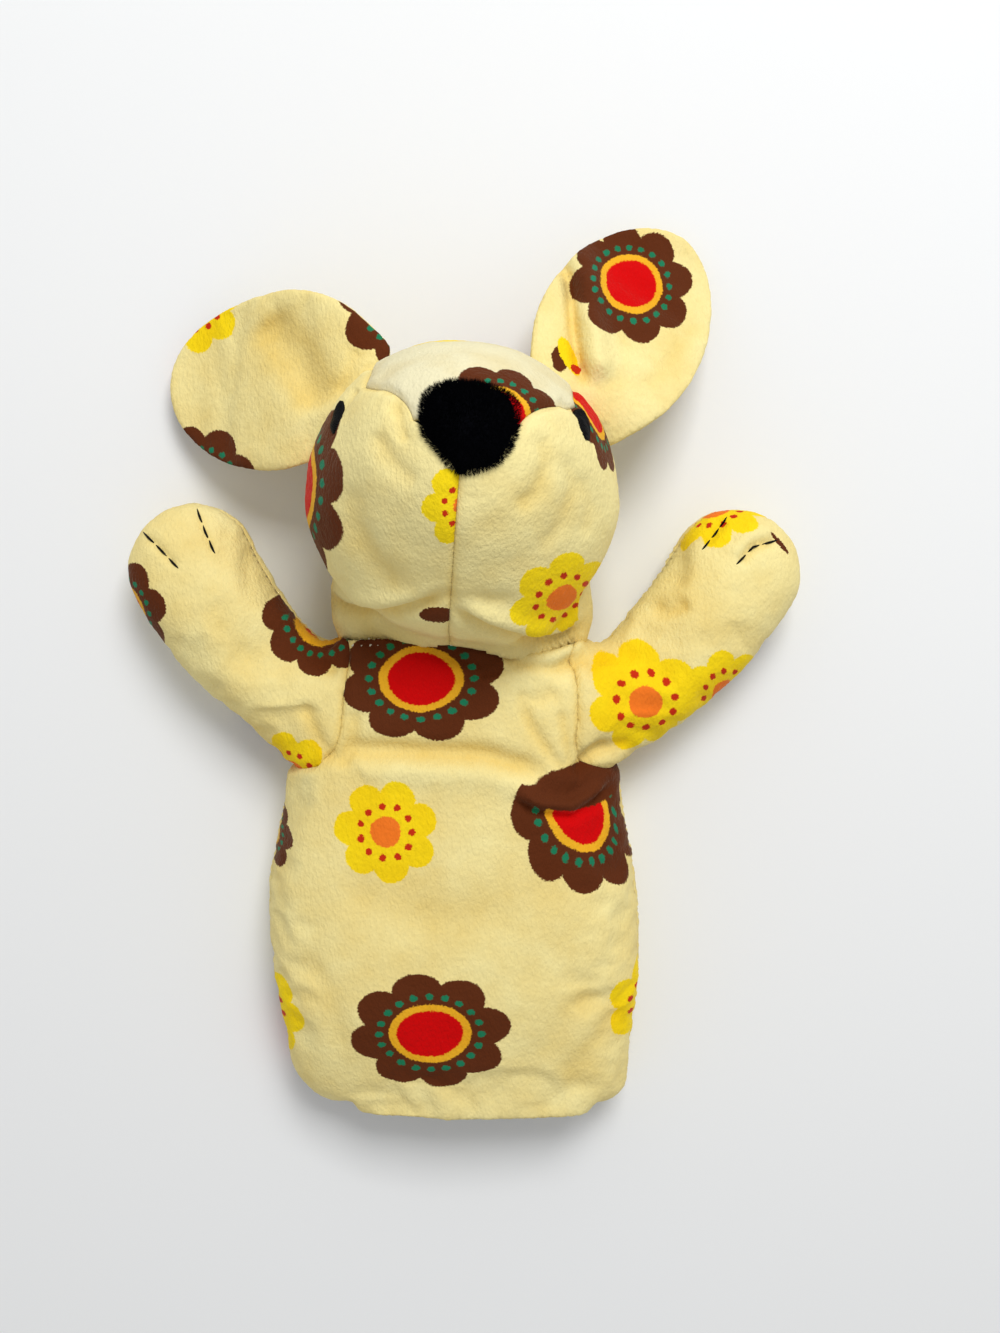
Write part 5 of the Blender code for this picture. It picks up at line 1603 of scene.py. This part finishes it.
# %% Ear shape
EAR_LENGTH = 75 * MM
EAR_WIDTH = 58 * MM
EAR_ROOT = 28 * MM
EAR_WIDEST = 0.46
EAR_TUCK = 8 * MM
EAR_SEAT = math.radians(41)
EAR_SWING = {"left": math.radians(8), "right": math.radians(61)}
EAR_TIP_HEIGHT = 6 * MM
EAR_SAG = {"left": 4.2 * MM, "right": 0.0}
EAR_TURNED_IN = {"left": 1.0, "right": 0.9}
EAR_THICK = 2.3 * MM
EAR_CLOTH = 0.9 * MM
EAR_STEP = 2.2 * MM
EAR_REACH = 2.4 * MM
EAR_SPARE = 0.02
EAR_PUFF_LIMIT = 1.0 * MM
EAR_LUMPS = [(14, 0.5)]
EAR_FLOOR = 0.4 * MM


def ear_edge():
    """Round the ear from one end of its root to the other, along it and across it."""
    full = EAR_LENGTH * EAR_WIDEST
    root = EAR_ROOT / 2
    flare = [(full * s, root + (EAR_WIDTH / 2 - root) * math.sin(math.pi / 2 * s) ** 0.9)
             for s in np.linspace(0, 1, 14)]
    tip = [(full + (EAR_LENGTH - full) * math.sin(a), EAR_WIDTH / 2 * math.cos(a))
           for a in np.radians(np.linspace(6, 90, 15))]
    upper = np.array(flare + tip)
    return resample(np.vstack([upper * [1, -1], upper[::-1][1:]]), EAR_STEP)


EAR_FOLDS = {
    "left": [dict(line=[(262, 312), (288, 345), (308, 378), (326, 412)], width=24, depth=4.5),
             dict(line=[(360, 345), (350, 372), (338, 398)], width=8, depth=1.0)],
    "right": [dict(line=[(556, 250), (569, 276), (572, 304), (575, 334), (579, 362), (588, 392)], width=6,
                   depth=4.6, roll=6.0, shift=-20, roll_width=13),
              dict(line=[(640, 392), (668, 366), (700, 318)], width=9, depth=0.7)],
}

edge = ear_edge()
root_line = resample([edge[-1], edge[0]], EAR_STEP)
ear_points, ear_faces = fill_pattern([edge, root_line], [], EAR_STEP)
ear_sewn = on_line(ear_points, edge)
ear_rise = swell(ear_points, ear_faces, ear_sewn, EAR_REACH)
ear_rise /= ear_rise.max()
ear_count = len(ear_points)
ear_row = np.where(ear_sewn, np.arange(ear_count), np.cumsum(~ear_sewn) - 1 + ear_count)
root_ids = nearest_ids(ear_points, root_line)
ear_lid = [list(dict.fromkeys((b, a, int(ear_row[a]), int(ear_row[b]))))
           for a, b in zip(root_ids[:-1], root_ids[1:])]
ear_skin_faces = [tuple(f) for f in ear_faces] + [tuple(ear_row[f][::-1]) for f in ear_faces] + ear_lid
ear_tags = np.concatenate([np.zeros(len(ear_faces), int), np.ones(len(ear_faces), int),
                           np.full(len(ear_lid), 2)])
print("ear pattern:", ear_count, "points")


# %% Ears
def ear_layers(side):
    """The skin of an ear in place: its two layers over and under a middle surface, and its faces."""
    sign = SIDES[side]
    seat, _ = head_skin(math.pi / 2, sign * (math.pi / 2 - EAR_SEAT))
    swing = EAR_SWING[side]
    heading = np.array([sign * math.cos(swing), math.sin(swing)])
    beside = np.array([-heading[1], heading[0]]) * sign
    along, across = ear_points[:, 0], ear_points[:, 1]
    across = np.where(across < 0, across * EAR_TURNED_IN[side], across)
    start = seat[:2] - heading * EAR_TUCK
    flat = start + along[:, None] * heading + across[:, None] * beside
    droop = ease((along - EAR_TUCK) / (EAR_LENGTH - EAR_TUCK))
    flat[:, 1] -= EAR_SAG[side] * droop
    middle = HEAD_MIDDLE[2] + (EAR_TIP_HEIGHT + EAR_THICK - HEAD_MIDDLE[2]) * droop
    thick = EAR_THICK * ear_rise
    over = np.column_stack([flat, middle + thick])
    under = np.column_stack([flat, middle - thick])
    skin = np.vstack([over, under[~ear_sewn]])
    if sign < 0:
        return skin, [f[::-1] for f in ear_skin_faces]
    return skin, ear_skin_faces


ears = {}
for side in SIDES:
    skin, faces = ear_layers(side)
    held = np.zeros(len(skin), bool)
    held[:ear_count] = ear_sewn
    skin = blow_up(side + "_ear", skin, faces, held, EAR_SPARE, EAR_PUFF_LIMIT)
    fine, fine_ear_faces, tags = subdivided(skin, faces, ear_tags)
    normals = point_normals(fine, fine_ear_faces)
    pixels = seen_at(fine)
    rim = Seam([skin[nearest_ids(ear_points, edge)]])
    change = sewn_in(*rim.gaps(fine), depth=0.7 * MM, pucker=0.25 * MM) + lumpy(fine, TUFTS + EAR_LUMPS)
    bend = sum(fold(pixels, **spec) for spec in EAR_FOLDS[side])
    fine = fine + normals * change[:, None] + np.array(FACE_UP) * bend[:, None]
    # Painted shade: the ear's cream is painted deeper where it sinks in a fold and paler on its roll.
    ear_shade = hollow_shade_of(change + bend)
    fine[:, 2] = np.maximum(fine[:, 2], EAR_FLOOR)
    for tag, layer in ((0, "front"), (1, "back")):
        name = side + "_ear_" + layer
        faces = [f for f, t in zip(fine_ear_faces, tags) if t == tag]
        ears[name] = panel_from(name + "_cloth", fine, faces, EAR_CLOTH, ear_shade)
        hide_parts(name)
        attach(ears[name], "root")
print({name: len(piece.data.polygons) for name, piece in ears.items()})

# %% [markdown]
# Each panel was cut from the printed cloth on its own, so the flowers stop at the seams. A spot names
# the kind of flower and the pixel where the photograph has its middle, or a place on the puppet where
# the middle is out of sight, in millimetres from the neck seam.

# %% Where the flowers are
PRINTS = {
    "body_front": [
        dict(kind="brown", pixel=(421, 679), stretch=(1.28, 0.98), petal_turn=0.3),
        dict(kind="yellow", pixel=(386, 832), petal_turn=0.35, size=1.04),
        dict(kind="brown", pixel=(578, 812), stretch=(1.08, 1.0), petal_turn=0.1),
        dict(kind="patch", pixel=(564, 740), stretch=(2.9, 2.0), turn=-6, tint=CREAM, out=FACE_UP),
        dict(kind="patch", pixel=(530, 766), stretch=(1.3, 1.1), tint=CREAM, out=FACE_UP),
        dict(kind="patch", pixel=(580, 786), stretch=(3.1, 1.5), turn=6, out=FACE_UP),
        dict(kind="brown", pixel=(430, 1034), stretch=(1.28, 1.02), petal_turn=0.2),
        dict(kind="yellow", pixel=(262, 1008), size=1.0),
        dict(kind="yellow", pixel=(652, 998), size=1.0),
        dict(kind="brown", pixel=(262, 832), size=0.6),
    ],
    "body_back": [
        dict(kind="brown", place=(-21, -47, 0), petal_turn=0.2, stretch=(1.15, 1)),
        dict(kind="yellow", place=(31, -62, 0), petal_turn=0.4),
        dict(kind="brown", place=(21, -112, 0), petal_turn=0.1, stretch=(1.15, 1)),
        dict(kind="yellow", place=(-29, -117, 0)),
        dict(kind="yellow", place=(11, -15, 0)),
        dict(kind="brown", place=(-59, -137, 10)),
    ],
    "left_arm_front": [
        dict(kind="brown", pixel=(324, 616), petal_turn=0.5, size=0.90, turn=-35, out=FACE_UP),
        dict(kind="brown", pixel=(120, 612), size=0.9, petal_turn=0.2),
        dict(kind="yellow", pixel=(296, 770), size=0.9),
    ],
    "right_arm_front": [
        dict(kind="yellow", pixel=(646, 702), petal_turn=0.2, size=1.10, stretch=(1.1, 1), turn=-20),
        dict(kind="yellow", pixel=(715, 512), size=0.95),
        dict(kind="patch", pixel=(780, 543), size=0.5, stretch=(1.8, 0.3), turn=-48, out=FACE_UP),
        dict(kind="yellow", pixel=(722, 690), size=0.9),
    ],
    "left_arm_back": [dict(kind="yellow", place=(-79, 3, 0)),
                      dict(kind="brown", place=(-54, -27, 0), petal_turn=0.3)],
    "right_arm_back": [dict(kind="brown", place=(79, 5, 0), petal_turn=0.3),
                       dict(kind="yellow", place=(53, -29, 0))],
    "head_left": [
        dict(kind="brown", pixel=(306, 485), height=44, petal_turn=0.1, stretch=(1.35, 1.0), size=1.26,
             out=(-1, 0, 0.2)),
        dict(kind="yellow", pixel=(468, 508), petal_turn=0.5, size=0.80),
        dict(kind="patch", pixel=(438, 615), size=0.9, stretch=(1.25, 0.5), out=FACE_UP),
    ],
    "head_right": [
        dict(kind="yellow", pixel=(562, 598), petal_turn=0.2, stretch=(1.02, 0.80), turn=28, out=FACE_UP),
        dict(kind="brown", pixel=(589, 406), petal_turn=0.4, stretch=(0.72, 1.0), out=(0.6, 0, 0.8)),
    ],
    "head_gusset": [
        dict(kind="brown", pixel=(500, 412), petal_turn=0.5, size=0.86, out=(0, 0.3, 1)),
        dict(kind="yellow", place=(-5, 98, 42), size=0.9, guide=(0, 0, 1)),
        dict(kind="brown", place=(11, 73, 20), guide=(0, 0, 1)),
    ],
    "left_ear_front": [
        dict(kind="yellow", pixel=(197, 304), petal_turn=0.2, size=0.95, out=FACE_UP),
        dict(kind="brown", pixel=(200, 488), petal_turn=0.3, out=FACE_UP),
        dict(kind="brown", pixel=(405, 303), height=30, petal_turn=0.6, out=FACE_UP),
    ],
    "right_ear_front": [
        dict(kind="brown", pixel=(631, 284), petal_turn=0.15, out=FACE_UP),
        dict(kind="patch", pixel=(550, 320), stretch=(1.15, 4.3), turn=10, tint=CREAM, out=FACE_UP),
        dict(kind="patch", pixel=(560, 359), size=0.6, stretch=(0.8, 1.4), out=FACE_UP),
        dict(kind="patch", pixel=(569, 356), size=0.55, stretch=(0.9, 2.4), turn=24, tint=YELLOW,
             out=FACE_UP),
        dict(kind="patch", pixel=(576, 369), size=0.3, stretch=(1.2, 1.0), tint=DOT_RED, out=FACE_UP),
    ],
    "left_ear_back": [dict(kind="brown", place=(-84, 88, 4))],
    "right_ear_back": [dict(kind="yellow", place=(61, 108, 4))],
}

# %% Print the panels
head_surface = surface_of(*head.values(), nose)
for name, piece in {**glove, **head, **ears}.items():
    base = BROW_CREAM if name == "head_gusset" else CREAM
    surface = head_surface if name in head else surface_of(piece)
    finish = plush_finish(name + "_print", base, PRINTS.get(name, ()), surface)
    piece.data.materials.append(finish)
    piece.data.materials.append(knit_back)
print("flowers", sum(len(spots) for spots in PRINTS.values()))

# %% [markdown]
# Through the hem one sees the finger pocket and the white stuffing of the head. Both keep their solids from
# the imported model and only get a finish: the knit for the pocket, and tangled fibre for the stuffing,
# which is a stretched noise. The dips of the tangle are painted grey, as painted shade.

# %% Pocket and stuffing
fibre = bpy.data.materials.new("stuffing_fibre")
fibre.use_nodes = True
net = Net(fibre.node_tree)
fibre_shader = fibre.node_tree.nodes["Principled BSDF"]
here = net.node("ShaderNodeTexCoord").outputs["Object"]
tangle = net.node("ShaderNodeTexNoise", {"Vector": here, "Scale": 420.0, "Detail": 4.0, "Distortion": 1.5})
# Painted shade: the dips of the tangle are painted grey.
net.feed(fibre_shader.inputs["Base Color"],
         net.mix(tangle.outputs["Fac"], (0.74, 0.74, 0.72, 1), (0.90, 0.90, 0.89, 1)))
fluff = net.node("ShaderNodeBump", {"Strength": 0.9, "Distance": 0.8 * MM, "Height": tangle.outputs["Fac"]})
net.feed(fibre_shader.inputs["Normal"], fluff.outputs["Normal"])
fibre_shader.inputs["Roughness"].default_value = 0.95
for node, finish in (("finger_pocket", pocket_knit), ("head_filling", fibre)):
    solid = bpy.data.objects[node]
    solid.data.materials.clear()
    solid.data.materials.append(finish)
    print(node, "is finished as", finish.name)

# %% [markdown]
# The cloth panels of the glove and the ears are sheets.


print("sheets", 2 * len(PANELS) + len(ears))
